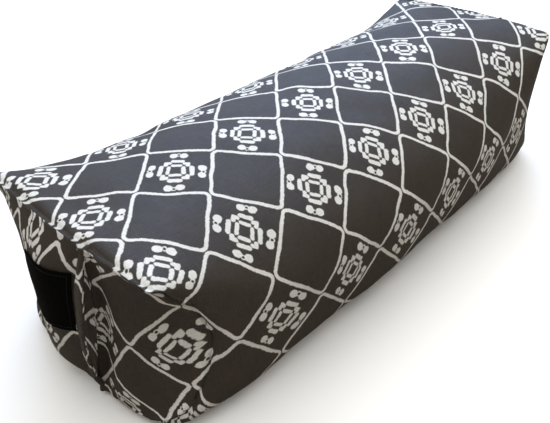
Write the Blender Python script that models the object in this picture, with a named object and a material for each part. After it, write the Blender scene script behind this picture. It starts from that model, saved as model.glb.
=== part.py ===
"""Rectangular yoga bolster: a printed cotton cover with boxed ends, two carry straps, a side zip
and a filled inner bag.

Metres, +Z up. The bolster lies on the floor at Z = 0, its length runs along Y and the labelled end
faces -Y.
"""
import math

import bmesh
import bpy
from mathutils import Vector

# Size of the stuffed cover, without the straps; the width is that at its edges, and the sides bulge
LENGTH = 0.592
WIDTH = 0.2225
HEIGHT = 0.152

# Form of the stuffed cover: how round each direction is in the middle and at the end seams
ACROSS_ROUNDNESS = 2.5
ACROSS_ROUNDNESS_AT_SEAM = 7.35
CROWN_ROUNDNESS = 2.0
CROWN_ROUNDNESS_AT_SEAM = 9.0
BASE_ROUNDNESS = 10.9
BASE_ROUNDNESS_AT_SEAM = 3.9
SEAM_FORM_GROWTH = 9.8
LENGTH_ROUNDNESS = 12.3
BASE_PRESS = 1.043
TOP_SAG = 0.042
SIDE_BULGE = 0.1435

# The zip holds the lower part of its side flat, standing out evenly along it; above it the side
# bulges as the other one does
ZIP_SIDE_BULGE = 0.082
ZIP_SIDE_REACH = 0.213
ZIP_SIDE_FLAT_TO = 0.068
ZIP_SIDE_FULL_FROM = 0.104

# Form of the end panels: each setback is how far a place lies behind the fullest point of the end,
# which is beside the upright seam
END_SEAM_SETBACK = 0.0227
END_CROWN = 0.0217
END_CROWN_ACROSS = 2.8
END_CROWN_UP = 3.7
END_CROWN_FLATNESS = 0.8
END_FULL_X = 0.0257
END_LEFT_SETBACK = 0.0439
END_LEFT_GROWTH = 1.56
END_RIGHT_SETBACK = 0.0478
END_RIGHT_GROWTH = 1.0
END_SIDE_LIMIT = 1.1
END_TOP_SETBACK = 0.0130
END_BASE_SETBACK = 0.0042
END_PULL_GROWTH = 8

# Upright seam of the end panels, where the two side flaps meet behind the strap; it leans a little, and
# its offsets from the middle are measured on the full width, from which the form narrows to the end
END_SEAM_TOP_OFFSET = 0.0433
END_SEAM_BASE_OFFSET = 0.0215
END_SEAM_DEPTH = 0.020
END_SEAM_LEFT_REACH = 0.014
END_SEAM_RIGHT_REACH = 0.026

# Mesh of the soft forms
CELLS_ACROSS = 8
CELLS_UP = 6
CELLS_ALONG = 17
SECTION_SAMPLES = 240
STATION_CROWDING = 1.45
TOP_CORNER = math.radians(45.0)
BASE_CORNER = math.radians(28.0)

# Cloth thicknesses and fits
COVER_THICKNESS = 0.0012
BAG_THICKNESS = 0.0006
CLOTH_GAP = 0.00035
BAG_SLACK = 0.0014
LAYER_SLACK = 0.0016
END_SLACK = 0.0045
BAG_MOUTH_LENGTH = 0.200
BAG_MOUTH_HEIGHT = 0.003
CUTTER_REACH = 0.020

# Carry straps
STRAP_WIDTH = 0.015
STRAP_THICKNESS = 0.0026
STRAP_BOW = 0.014
STRAP_DRIFT = 0.005
STRAP_BOW_FLATNESS = 0.62
STRAP_SPREAD = 1.8
STRAP_END_RADIUS = 0.0024
STRAP_END_INSET = 0.004
STRAP_END_GAP = 0.0004
STRAP_TWIST = math.radians(18.0)
STRAP_SQUARENESS = 5.0
STRAP_STATIONS = 22
STRAP_SIDES = 12

# Woven label beside the upright seam of the near end
LABEL_WIDTH = 0.048
LABEL_HEIGHT = 0.056
LABEL_LEAN = 0.16
LABEL_THICKNESS = 0.0006
LABEL_GAP = 0.0004
LABEL_FROM_SEAM = 0.0040
LABEL_MID_HEIGHT = 0.0965

# Zip along the hidden long side
ZIP_LENGTH = 0.360
ZIP_HEIGHT_ON_SIDE = 0.050
ZIP_SLOT_HEIGHT = 0.011
TAPE_WIDTH = 0.0135
TAPE_THICKNESS = 0.0005
TAPE_OVERRUN = 0.010
TAPE_EDGE_FROM_MIDDLE = 0.0009
COIL_WIDTH = 0.0024
COIL_THICKNESS = 0.0020
COIL_EDGE_FROM_MIDDLE = 0.0002
COIL_EDGE_THICKNESS = 0.0007
COIL_SEGMENTS = 6
SLIDER_LENGTH = 0.0110
SLIDER_PLATE = 0.0010
SLIDER_FLANGE = 0.0009
SLIDER_BRIDGE_WIDTH = 0.0011
SLIDER_BRIDGE_LENGTH = 0.0024
SLIDER_SHOULDER = 0.0012
STOP_LENGTH = 0.0022
STOP_GAP = 0.0008
RUNNING_GAP = 0.00035

# Bail on the slider and the pull tab that hangs in it
BAIL_LENGTH = 0.0070
BAIL_WIDTH = 0.0018
BAIL_THICKNESS = 0.0010
BAIL_CLEAR = 0.0024
PULL_LENGTH = 0.0260
PULL_WIDTH = 0.0078
PULL_THICKNESS = 0.0012
PULL_EYE_WIDTH = 0.0062
PULL_EYE_BAR = 0.0014
PULL_EYE_LENGTH = 0.0058
PULL_EYE_END = 0.0008
PULL_SHOULDER = 0.0022
PULL_GRIP_LENGTH = 0.0060
PULL_GRIP_WIDTH = 0.0035
PULL_GRIP_FROM_END = 0.0022

HALF_LENGTH = LENGTH / 2
HALF_WIDTH = WIDTH / 2
HALF_HEIGHT = HEIGHT / 2
SEAM_Y = HALF_LENGTH - END_SEAM_SETBACK


class SoftBox:
    """One soft form: half sizes, seam plane, and how far its ends are drawn back."""

    def __init__(self, side_inset=0.0, end_inset=0.0, base_inset=0.0, top_inset=0.0):
        self.width = HALF_WIDTH - side_inset
        self.length = HALF_LENGTH - end_inset
        self.height = HALF_HEIGHT - (base_inset + top_inset) / 2
        self.seam_y = SEAM_Y - end_inset
        self.middle = HALF_HEIGHT + (base_inset - top_inset) / 2
        self.slack = 0.0
        rows = end_rows(self, 1.0)
        self.slack = self.length - max(point.y for row in rows for point in row)

    def pull_back(self, x, z):
        """How far the end's rim lies behind its fullest point at one place across and up."""
        up = min(abs(z - self.middle) / self.height, 1.0)
        share = (z - self.middle + self.height) / (2 * self.height)
        if x < END_FULL_X:
            across = min((END_FULL_X - x) / (END_FULL_X + self.width), END_SIDE_LIMIT)
            sideways = END_LEFT_SETBACK * across ** END_LEFT_GROWTH
        else:
            across = min((x - END_FULL_X) / (self.width - END_FULL_X), END_SIDE_LIMIT)
            sideways = END_RIGHT_SETBACK * across ** END_RIGHT_GROWTH
        upwards = END_TOP_SETBACK * share + END_BASE_SETBACK * (1.0 - share) ** 2
        return sideways * (1.0 - up * up) + upwards + END_CROWN - self.slack

    def section_point(self, y, angle):
        """Point of the section at length y; angle 0 is the right side, a quarter turn is the crest."""
        share = min(abs(y) / self.length, 1.0)
        fullness = 1.0 - share ** LENGTH_ROUNDNESS
        nearness = abs(y) / SEAM_Y
        towards_seam = nearness ** SEAM_FORM_GROWTH
        across = ACROSS_ROUNDNESS + (ACROSS_ROUNDNESS_AT_SEAM - ACROSS_ROUNDNESS) * towards_seam
        if math.sin(angle) >= 0.0:
            up = CROWN_ROUNDNESS + (CROWN_ROUNDNESS_AT_SEAM - CROWN_ROUNDNESS) * towards_seam
            press = 1.0
        else:
            towards_end = (abs(y) / self.seam_y) ** SEAM_FORM_GROWTH
            up = BASE_ROUNDNESS + (BASE_ROUNDNESS_AT_SEAM - BASE_ROUNDNESS) * towards_end
            press = BASE_PRESS
        cosine = math.cos(angle)
        sine = math.sin(angle)
        rise = min((fullness * sine * sine) ** (1.0 / up) * press, 1.0)
        inner = max(1.0 - nearness * nearness, 0.0)
        sag = TOP_SAG * inner * inner if sine >= 0.0 else 0.0
        z = self.middle + math.copysign(rise, sine) * self.height * (1.0 - sag)
        bulge = SIDE_BULGE * (1.0 - rise * rise) * inner
        if cosine < 0.0:
            free = min(max((z - ZIP_SIDE_FLAT_TO) / (ZIP_SIDE_FULL_FROM - ZIP_SIDE_FLAT_TO), 0.0), 1.0)
            beyond = max((abs(y) - ZIP_SIDE_REACH) / (SEAM_Y - ZIP_SIDE_REACH), 0.0)
            held = ZIP_SIDE_BULGE * (1.0 - beyond * beyond)
            bulge = held + (bulge - held) * free * free * (3.0 - 2.0 * free)
        side = (fullness * cosine * cosine) ** (1.0 / across) * (1.0 + bulge)
        x = math.copysign(side, cosine) * self.width
        rim_y = self.length - self.pull_back(x, z)
        drawn = (rim_y - self.seam_y) * (abs(y) / self.seam_y) ** END_PULL_GROWTH
        return Vector((x, math.copysign(abs(y) + drawn, y), z))

    def section_side(self, y, start, end, shares):
        """Points along the section between two corner angles, at given shares of its arc length."""
        step = (end - start) / SECTION_SAMPLES
        fine = [self.section_point(y, start + step * i) for i in range(SECTION_SAMPLES + 1)]
        reach = [0.0]
        for before, after in zip(fine, fine[1:]):
            reach.append(reach[-1] + (after - before).length)
        points = []
        index = 0
        for wanted in shares:
            target = reach[-1] * wanted
            while index < SECTION_SAMPLES - 1 and reach[index + 1] < target:
                index += 1
            span = reach[index + 1] - reach[index]
            share = (target - reach[index]) / span if span > 0.0 else 0.0
            points.append(fine[index].lerp(fine[index + 1], min(max(share, 0.0), 1.0)))
        return points

    def section(self, y):
        """Closed section: top from left to right, right side down, base right to left, left side up."""
        across = across_shares(END_SEAM_TOP_OFFSET)
        back = [1.0 - share for share in reversed(across_shares(END_SEAM_BASE_OFFSET))]
        up = [j / CELLS_UP for j in range(CELLS_UP + 1)]
        top = self.section_side(y, math.pi - TOP_CORNER, TOP_CORNER, across)
        right = self.section_side(y, TOP_CORNER, -BASE_CORNER, up)
        base = self.section_side(y, -BASE_CORNER, BASE_CORNER - math.pi, back)
        left = self.section_side(y, BASE_CORNER - math.pi, -math.pi - TOP_CORNER, up)
        return top[:-1] + right[:-1] + base[:-1] + left[:-1]

    def stations(self):
        """Lengths of the sections, closer together towards the end seams."""
        result = []
        for i in range(CELLS_ALONG + 1):
            t = 2.0 * i / CELLS_ALONG - 1.0
            share = 1.0 - (1.0 - abs(t)) ** STATION_CROWDING
            result.append(math.copysign(share * self.seam_y, t))
        return result

    def end_depth(self, x, z, seam_x):
        """How far the skin of the end panel stands out at a place inside its seams."""
        loop_width = self.section_point(self.seam_y, 0.0).x
        crest = self.section_point(self.seam_y, math.pi / 2).z - self.middle
        u = min(abs(x) / loop_width, 1.0)
        v = min(abs(z - self.middle) / crest, 1.0)
        dome = ((1.0 - u ** END_CROWN_ACROSS) * (1.0 - v ** END_CROWN_UP)) ** END_CROWN_FLATNESS
        reach = END_SEAM_LEFT_REACH if x < seam_x else END_SEAM_RIGHT_REACH
        valley = END_SEAM_DEPTH * math.exp(-((x - seam_x) / reach) ** 2) * (1.0 - v ** 4)
        return self.length - self.pull_back(x, z) + END_CROWN * dome - valley


def seam_column():
    """Column of the grid across the form that runs down the upright end seam."""
    offset = (END_SEAM_TOP_OFFSET + END_SEAM_BASE_OFFSET) / 2
    return round((0.5 + offset / WIDTH) * CELLS_ACROSS)


def across_shares(offset):
    """Shares of the arc at which the columns stand, one of them moved onto the upright end seam."""
    shares = [i / CELLS_ACROSS for i in range(CELLS_ACROSS + 1)]
    shares[seam_column()] = 0.5 + offset / WIDTH
    return shares


def end_rows(form, sign):
    """Rows of one end panel in order from the top seam down, edges shared with the tube's last section."""
    loop = form.section(sign * form.seam_y)
    across, up = CELLS_ACROSS, CELLS_UP
    count = len(loop)
    top = [loop[i] for i in range(across + 1)]
    right = [loop[across + j] for j in range(up + 1)]
    base = [loop[2 * across + up - i] for i in range(across + 1)]
    left = [loop[(count - j) % count] for j in range(up + 1)]
    seam = seam_column()
    top_shares = across_shares(END_SEAM_TOP_OFFSET)
    base_shares = across_shares(END_SEAM_BASE_OFFSET)
    rows = []
    for j in range(up + 1):
        v = j / up
        row = []
        for i in range(across + 1):
            u = top_shares[i] * (1.0 - v) + base_shares[i] * v
            sides = left[j].lerp(right[j], u)
            faces = top[i].lerp(base[i], v)
            corners = top[0].lerp(top[across], u).lerp(base[0].lerp(base[across], u), v)
            row.append(sides + faces - corners)
        seam_x = row[seam].x
        if 0 < j < up:
            for point in row[1:-1]:
                point.y = sign * form.end_depth(point.x, point.z, seam_x)
        rows.append(row)
    return rows


def loop_index(i, j):
    """Place in the section loop of a rim point of the end grid, or None inside it."""
    across, up = CELLS_ACROSS, CELLS_UP
    if j == 0:
        return i
    if i == across:
        return across + j
    if j == up:
        return 2 * across + up - i
    if i == 0:
        return (2 * across + 2 * up - j) % (2 * across + 2 * up)
    return None


def soft_mesh(name, form):
    """Closed skin of a soft form: the tube between the end seams and the two end panels."""
    bm = bmesh.new()
    loops = [[bm.verts.new(p) for p in form.section(y)] for y in form.stations()]
    count = len(loops[0])
    for near, far in zip(loops, loops[1:]):
        for k in range(count):
            n = (k + 1) % count
            bm.faces.new((near[k], near[n], far[n], far[k]))
    for sign, loop in ((-1.0, loops[0]), (1.0, loops[-1])):
        rows = end_rows(form, sign)
        grid = []
        for j, row in enumerate(rows):
            line = []
            for i, point in enumerate(row):
                rim = loop_index(i, j)
                line.append(bm.verts.new(point) if rim is None else loop[rim])
            grid.append(line)
        for j in range(CELLS_UP):
            for i in range(CELLS_ACROSS):
                bm.faces.new((grid[j][i], grid[j][i + 1], grid[j + 1][i + 1], grid[j + 1][i]))
    bmesh.ops.triangulate(bm, faces=bm.faces)
    mesh = finish_mesh(name, bm)
    mesh.shade_smooth()
    return mesh


def material(name, color, roughness, metallic=0.0):
    """Plain finish of one sub-part."""
    made = bpy.data.materials.new(name)
    made.use_nodes = True
    shader = made.node_tree.nodes["Principled BSDF"]
    shader.inputs["Base Color"].default_value = (*color, 1.0)
    shader.inputs["Roughness"].default_value = roughness
    shader.inputs["Metallic"].default_value = metallic
    return made


def place(name, mesh, finish, origin=(0.0, 0.0, 0.0)):
    """Named object with its finish; the mesh is given in world places and kept there."""
    obj = bpy.data.objects.new(name, mesh)
    bpy.context.scene.collection.objects.link(obj)
    for vert in mesh.vertices:
        vert.co -= Vector(origin)
    obj.location = origin
    mesh.materials.append(finish)
    return obj


def box_mesh(name, low, high):
    """Box between two corners."""
    bm = bmesh.new()
    add_box(bm, low, high)
    return finish_mesh(name, bm)


def add_box(bm, low, high):
    """Adds a box between two corners to a mesh being made."""
    made = bmesh.ops.create_cube(bm, size=1.0)
    for vert in made["verts"]:
        for axis in range(3):
            vert.co[axis] = low[axis] if vert.co[axis] < 0.0 else high[axis]
    return made["verts"]


def finish_mesh(name, bm):
    """Turns a mesh being made into mesh data with its faces pointing out."""
    bmesh.ops.recalc_face_normals(bm, faces=bm.faces)
    mesh = bpy.data.meshes.new(name)
    bm.to_mesh(mesh)
    bm.free()
    return mesh


def cutter(name, low, high):
    """Hidden box that cuts an opening."""
    obj = bpy.data.objects.new(name, box_mesh(name, low, high))
    bpy.context.scene.collection.objects.link(obj)
    obj.hide_render = True
    obj.display_type = 'WIRE'
    return obj


def hollow(obj, thickness, opening):
    """Gives a skin its cloth thickness and cuts its opening."""
    shell = obj.modifiers.new("cloth", 'SOLIDIFY')
    shell.thickness = thickness
    shell.offset = -1.0
    cut = obj.modifiers.new("opening", 'BOOLEAN')
    cut.operation = 'DIFFERENCE'
    cut.solver = 'EXACT'
    cut.object = opening


def wall_x(outer, y, z):
    """Where the faceted left wall of a section stands at one height."""
    loop = outer.section(y)
    side = loop[2 * CELLS_ACROSS + CELLS_UP:] + loop[:1]
    for low, high in zip(side, side[1:]):
        if low.z <= z <= high.z:
            return low.lerp(high, (z - low.z) / (high.z - low.z)).x
    return -outer.width


def zip_plane_x(outer):
    """Innermost place of the cover's left wall over the area that the zip's tapes cover."""
    reach = ZIP_LENGTH / 2 + TAPE_OVERRUN
    edge = TAPE_EDGE_FROM_MIDDLE + TAPE_WIDTH
    half = [y for y in outer.stations() if y >= 0.0]
    beyond = min(y for y in half if outer.section_point(y, math.pi).y >= reach)
    lengths = [y for y in half if y <= beyond]
    heights = (ZIP_HEIGHT_ON_SIDE - edge, ZIP_HEIGHT_ON_SIDE, ZIP_HEIGHT_ON_SIDE + edge)
    return max(wall_x(outer, y, z) for y in lengths for z in heights)


def make_cover(outer, cloth):
    """Printed cotton cover, open along the zip."""
    obj = place("cover", soft_mesh("cover", outer), cloth)
    half = ZIP_LENGTH / 2
    wall = outer.section_point(0.0, math.pi).x
    low = (wall - CUTTER_REACH, -half, ZIP_HEIGHT_ON_SIDE - ZIP_SLOT_HEIGHT / 2)
    high = (wall + CUTTER_REACH, half, ZIP_HEIGHT_ON_SIDE + ZIP_SLOT_HEIGHT / 2)
    hollow(obj, COVER_THICKNESS, cutter("zip_slot_cutter", low, high))
    return obj


def make_inner_bag(bag, cloth):
    """Plain cotton bag inside the cover, with the mouth it was filled through."""
    obj = place("inner_bag", soft_mesh("inner_bag", bag), cloth)
    wall = bag.section_point(0.0, math.pi).x
    low = (wall - CUTTER_REACH, -BAG_MOUTH_LENGTH / 2, ZIP_HEIGHT_ON_SIDE - BAG_MOUTH_HEIGHT / 2)
    high = (wall + CUTTER_REACH, BAG_MOUTH_LENGTH / 2, ZIP_HEIGHT_ON_SIDE + BAG_MOUTH_HEIGHT / 2)
    hollow(obj, BAG_THICKNESS, cutter("bag_mouth_cutter", low, high))
    return obj


def strap_seat(seam, inside, sign):
    """Middle of a strap's gathered end, which rests against the end panel just inside a seam."""
    along = (inside - seam).normalized()
    out = Vector((0.0, sign, 0.0))
    out = (out - along * out.dot(along)).normalized()
    return seam + along * STRAP_END_INSET + out * (STRAP_END_RADIUS + STRAP_END_GAP)


def strap_ends(outer, sign):
    """Where a strap is caught at the top seam and at the base seam; its hinge line joins the two."""
    column = [row[seam_column()] for row in end_rows(outer, sign)]
    return strap_seat(column[0], column[1], sign), strap_seat(column[-1], column[-2], sign)


def make_strap(name, outer, sign, cloth):
    """Folded cotton strap, flat in the middle and gathered where its ends meet the seams."""
    start, end = strap_ends(outer, sign)
    chord = (end - start).normalized()
    out = Vector((0.0, sign, 0.0))
    out = (out - chord * out.dot(chord)).normalized()
    path = []
    for i in range(STRAP_STATIONS + 1):
        t = i / STRAP_STATIONS
        rise = math.sin(math.pi * t) ** STRAP_BOW_FLATNESS
        path.append(start.lerp(end, t) + out * STRAP_BOW * rise + Vector((STRAP_DRIFT * rise, 0.0, 0.0)))
    bm = bmesh.new()
    rings = []
    for i, point in enumerate(path):
        before = path[max(i - 1, 0)]
        after = path[min(i + 1, STRAP_STATIONS)]
        along = (after - before).normalized()
        middle = math.sin(math.pi * i / STRAP_STATIONS)
        flat = min(middle * middle * STRAP_SPREAD, 1.0)
        half_width = STRAP_END_RADIUS + (STRAP_WIDTH / 2 - STRAP_END_RADIUS) * flat
        half_thickness = STRAP_END_RADIUS + (STRAP_THICKNESS / 2 - STRAP_END_RADIUS) * flat
        power = 2.0 / (2.0 + (STRAP_SQUARENESS - 2.0) * flat)
        twist = STRAP_TWIST * middle
        side = Vector((math.cos(twist), math.sin(twist) * sign, 0.0))
        side = (side - along * side.dot(along)).normalized()
        normal = along.cross(side).normalized()
        ring = []
        for k in range(STRAP_SIDES):
            angle = 2.0 * math.pi * k / STRAP_SIDES
            across = math.copysign(abs(math.cos(angle)) ** power, math.cos(angle)) * half_width
            through = math.copysign(abs(math.sin(angle)) ** power, math.sin(angle)) * half_thickness
            ring.append(bm.verts.new(point + side * across + normal * through))
        rings.append(ring)
    for near, far in zip(rings, rings[1:]):
        for k in range(STRAP_SIDES):
            n = (k + 1) % STRAP_SIDES
            bm.faces.new((near[k], near[n], far[n], far[k]))
    bm.faces.new(rings[0])
    bm.faces.new(rings[-1][::-1])
    mesh = finish_mesh(name, bm)
    mesh.shade_smooth()
    return place(name, mesh, cloth, start)


def make_label(outer, cloth):
    """Woven label sewn to the left half of the near end: a layer over the cover's skin, cut to size."""
    obj = place("woven_label", soft_mesh("woven_label", outer), cloth)
    lift = obj.modifiers.new("lift", 'DISPLACE')
    lift.strength = LABEL_GAP
    lift.mid_level = 0.0
    layer = obj.modifiers.new("layer", 'SOLIDIFY')
    layer.thickness = LABEL_THICKNESS
    layer.offset = 1.0
    start, end = strap_ends(outer, -1.0)
    right = (start.x + end.x) / 2 - LABEL_FROM_SEAM
    low = (right - LABEL_WIDTH, -LENGTH, LABEL_MID_HEIGHT - LABEL_HEIGHT / 2)
    high = (right, 0.0, LABEL_MID_HEIGHT + LABEL_HEIGHT / 2)
    trim = obj.modifiers.new("outline", 'BOOLEAN')
    trim.operation = 'INTERSECT'
    trim.solver = 'EXACT'
    trim.object = cutter("label_outline_cutter", low, high)
    for vert in trim.object.data.vertices:
        vert.co.x += LABEL_LEAN * (vert.co.z - LABEL_MID_HEIGHT)
    return obj


class ZipPlan:
    """Places of the zip's layers, worked out from the wall it is sewn behind."""

    def __init__(self, outer):
        wall = zip_plane_x(outer)
        self.middle_z = ZIP_HEIGHT_ON_SIDE
        self.start_y = -ZIP_LENGTH / 2
        self.end_y = ZIP_LENGTH / 2
        self.tape_front = wall + COVER_THICKNESS + CLOTH_GAP
        self.tape_back = self.tape_front + TAPE_THICKNESS
        self.coil_back = self.tape_front - CLOTH_GAP
        self.coil_front = self.coil_back - COIL_THICKNESS
        self.coil_reach = COIL_EDGE_FROM_MIDDLE + COIL_WIDTH
        self.slider_half = self.coil_reach + RUNNING_GAP + SLIDER_FLANGE
        self.front_plate = self.coil_front - RUNNING_GAP
        self.back_plate = self.tape_back + RUNNING_GAP
        self.slider_y = self.start_y + STOP_LENGTH + 2 * STOP_GAP + SLIDER_LENGTH / 2
        self.coil_start = self.slider_y + SLIDER_LENGTH / 2 - SLIDER_BRIDGE_LENGTH
        self.coil_end = self.end_y - STOP_LENGTH - STOP_GAP
        self.travel = self.coil_end - STOP_GAP - self.slider_y - SLIDER_LENGTH / 2


def make_tape(name, plan, side, cloth):
    """One woven zip tape behind the cover's edge; side is +1 above the slot and -1 below."""
    inner = plan.middle_z + side * TAPE_EDGE_FROM_MIDDLE
    outer = inner + side * TAPE_WIDTH
    low = (plan.tape_front, plan.start_y - TAPE_OVERRUN, min(inner, outer))
    high = (plan.tape_back, plan.end_y + TAPE_OVERRUN, max(inner, outer))
    return place(name, box_mesh(name, low, high), cloth)


def make_coil(name, plan, side, plastic):
    """One row of the zip's coil, a bead with a rounded front along the tape's edge."""
    inner = COIL_EDGE_FROM_MIDDLE
    bm = bmesh.new()
    profile = []
    for k in range(COIL_SEGMENTS + 1):
        angle = math.pi * k / COIL_SEGMENTS
        across = inner + COIL_WIDTH * (1.0 - math.cos(angle)) / 2
        depth = COIL_EDGE_THICKNESS + (COIL_THICKNESS - COIL_EDGE_THICKNESS) * math.sin(angle)
        profile.append((across, depth))
    profile.append((inner + COIL_WIDTH, 0.0))
    profile.append((inner, 0.0))
    rings = []
    for y in (plan.coil_start + RUNNING_GAP, plan.coil_end):
        ring = []
        for across, depth in profile:
            ring.append(bm.verts.new((plan.coil_back - depth, y, plan.middle_z + side * across)))
        rings.append(ring)
    count = len(profile)
    for k in range(count):
        n = (k + 1) % count
        bm.faces.new((rings[0][k], rings[0][n], rings[1][n], rings[1][k]))
    bm.faces.new(rings[0])
    bm.faces.new(rings[1][::-1])
    return place(name, finish_mesh(name, bm), plastic)


def make_slider(plan, metal):
    """Zip slider: front plate with its flanges, back plate, the bridge between them and the bail."""
    y0 = plan.slider_y - SLIDER_LENGTH / 2
    y1 = plan.slider_y + SLIDER_LENGTH / 2
    z = plan.middle_z
    half = plan.slider_half
    shoulder = half - SLIDER_SHOULDER
    front = plan.front_plate - SLIDER_PLATE
    back = plan.back_plate + SLIDER_PLATE
    mid_y = plan.slider_y
    parts = []

    def plate(name, x0, x1):
        bm = bmesh.new()
        outline = [(y0, -half), (mid_y, -half), (y1, -shoulder), (y1, shoulder), (mid_y, half), (y0, half)]
        rings = [[bm.verts.new((x, y, z + h)) for y, h in outline] for x in (x0, x1)]
        for k in range(len(outline)):
            n = (k + 1) % len(outline)
            bm.faces.new((rings[0][k], rings[0][n], rings[1][n], rings[1][k]))
        bm.faces.new(rings[0])
        bm.faces.new(rings[1][::-1])
        parts.append(finish_mesh(name, bm))

    plate("slider_front", front, plan.front_plate)
    plate("slider_back", plan.back_plate, back)
    flange_back = plan.tape_front - RUNNING_GAP
    for side in (-1.0, 1.0):
        inner = z + side * (half - SLIDER_FLANGE)
        outer = z + side * half
        low = (plan.front_plate - SLIDER_PLATE / 2, y0, min(inner, outer))
        high = (flange_back, mid_y, max(inner, outer))
        parts.append(box_mesh("slider_flange", low, high))
    bridge_y = y0 + SLIDER_BRIDGE_LENGTH
    low = (plan.front_plate - SLIDER_PLATE / 2, y0, z - SLIDER_BRIDGE_WIDTH / 2)
    high = (plan.back_plate + SLIDER_PLATE / 2, bridge_y, z + SLIDER_BRIDGE_WIDTH / 2)
    parts.append(box_mesh("slider_bridge", low, high))
    bail_y0 = mid_y - BAIL_LENGTH / 2
    bail_y1 = mid_y + BAIL_LENGTH / 2
    bail_top = front - BAIL_CLEAR
    z0 = z - BAIL_WIDTH / 2
    z1 = z + BAIL_WIDTH / 2
    overlap = SLIDER_PLATE / 2
    parts.append(box_mesh("bail_bar", (bail_top - BAIL_THICKNESS, bail_y0, z0), (bail_top, bail_y1, z1)))
    foot = (bail_top - BAIL_THICKNESS / 2, bail_y0, z0), (front + overlap, bail_y0 + BAIL_THICKNESS, z1)
    parts.append(box_mesh("bail_foot", *foot))
    foot = (bail_top - BAIL_THICKNESS / 2, bail_y1 - BAIL_THICKNESS, z0), (front + overlap, bail_y1, z1)
    parts.append(box_mesh("bail_foot", *foot))
    obj = place("zip_slider", parts[0], metal, (plan.coil_back, mid_y, z))
    for k, mesh in enumerate(parts[1:]):
        tool = bpy.data.objects.new("slider_piece_%d" % k, mesh)
        bpy.context.scene.collection.objects.link(tool)
        tool.hide_render = True
        tool.display_type = 'WIRE'
        join = obj.modifiers.new("join_%d" % k, 'BOOLEAN')
        join.operation = 'UNION'
        join.solver = 'EXACT'
        join.object = tool
    return obj


def pull_axis(plan):
    """Middle of the bail's hole, where the pull's eye bar turns."""
    front = plan.front_plate - SLIDER_PLATE
    return Vector((front - BAIL_CLEAR / 2, plan.slider_y + BAIL_LENGTH / 2 - BAIL_THICKNESS
                   - RUNNING_GAP - PULL_EYE_BAR / 2, plan.middle_z))


def make_pull(plan, metal):
    """Pull tab lying along the closed zip, its eye bar inside the bail."""
    axis = pull_axis(plan)
    x0 = axis.x - PULL_THICKNESS / 2
    x1 = axis.x + PULL_THICKNESS / 2
    start = axis.y - PULL_EYE_BAR / 2
    eye_end = start + PULL_EYE_BAR + PULL_EYE_LENGTH
    end = start + PULL_LENGTH
    half = PULL_WIDTH / 2
    eye = PULL_EYE_WIDTH / 2
    z = plan.middle_z
    bend = PULL_SHOULDER
    outline = [(start, -eye), (start, eye), (eye_end, eye), (eye_end + bend, half), (end - bend, half),
               (end, half - bend), (end, bend - half), (end - bend, -half), (eye_end + bend, -half),
               (eye_end, -eye)]
    bm = bmesh.new()
    rings = [[bm.verts.new((x, y, z + h)) for y, h in outline] for x in (x0, x1)]
    for k in range(len(outline)):
        n = (k + 1) % len(outline)
        bm.faces.new((rings[0][k], rings[0][n], rings[1][n], rings[1][k]))
    bm.faces.new(rings[0])
    bm.faces.new(rings[1][::-1])
    obj = place("zip_pull", finish_mesh("zip_pull", bm), metal, axis)
    hole = eye - PULL_EYE_BAR
    low = (x0 - PULL_THICKNESS, start + PULL_EYE_BAR, z - hole)
    high = (x1 + PULL_THICKNESS, eye_end - PULL_EYE_END, z + hole)
    grip_end = end - PULL_GRIP_FROM_END
    grip_low = (x0 - PULL_THICKNESS, grip_end - PULL_GRIP_LENGTH, z - PULL_GRIP_WIDTH / 2)
    grip_high = (x1 + PULL_THICKNESS, grip_end, z + PULL_GRIP_WIDTH / 2)
    for name, corners in (("pull_eye_cutter", (low, high)), ("pull_grip_cutter", (grip_low, grip_high))):
        cut = obj.modifiers.new(name, 'BOOLEAN')
        cut.operation = 'DIFFERENCE'
        cut.solver = 'EXACT'
        cut.object = cutter(name, *corners)
    return obj


def make_stops(plan, metal):
    """A crimped stop on each tape at the closed end, and one across both rows at the open end."""
    y0 = plan.start_y + STOP_GAP
    for name, side in (("zip_stop_upper", 1.0), ("zip_stop_lower", -1.0)):
        inner = plan.middle_z + side * (TAPE_EDGE_FROM_MIDDLE + RUNNING_GAP)
        outer = inner + side * COIL_WIDTH
        low = (plan.coil_front, y0, min(inner, outer))
        high = (plan.coil_back, y0 + STOP_LENGTH, max(inner, outer))
        place(name, box_mesh(name, low, high), metal)
    low = (plan.coil_front, plan.coil_end + RUNNING_GAP, plan.middle_z - plan.coil_reach)
    high = (plan.coil_back, plan.coil_end + RUNNING_GAP + STOP_LENGTH, plan.middle_z + plan.coil_reach)
    place("zip_open_end_stop", box_mesh("zip_open_end_stop", low, high), metal)


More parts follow.
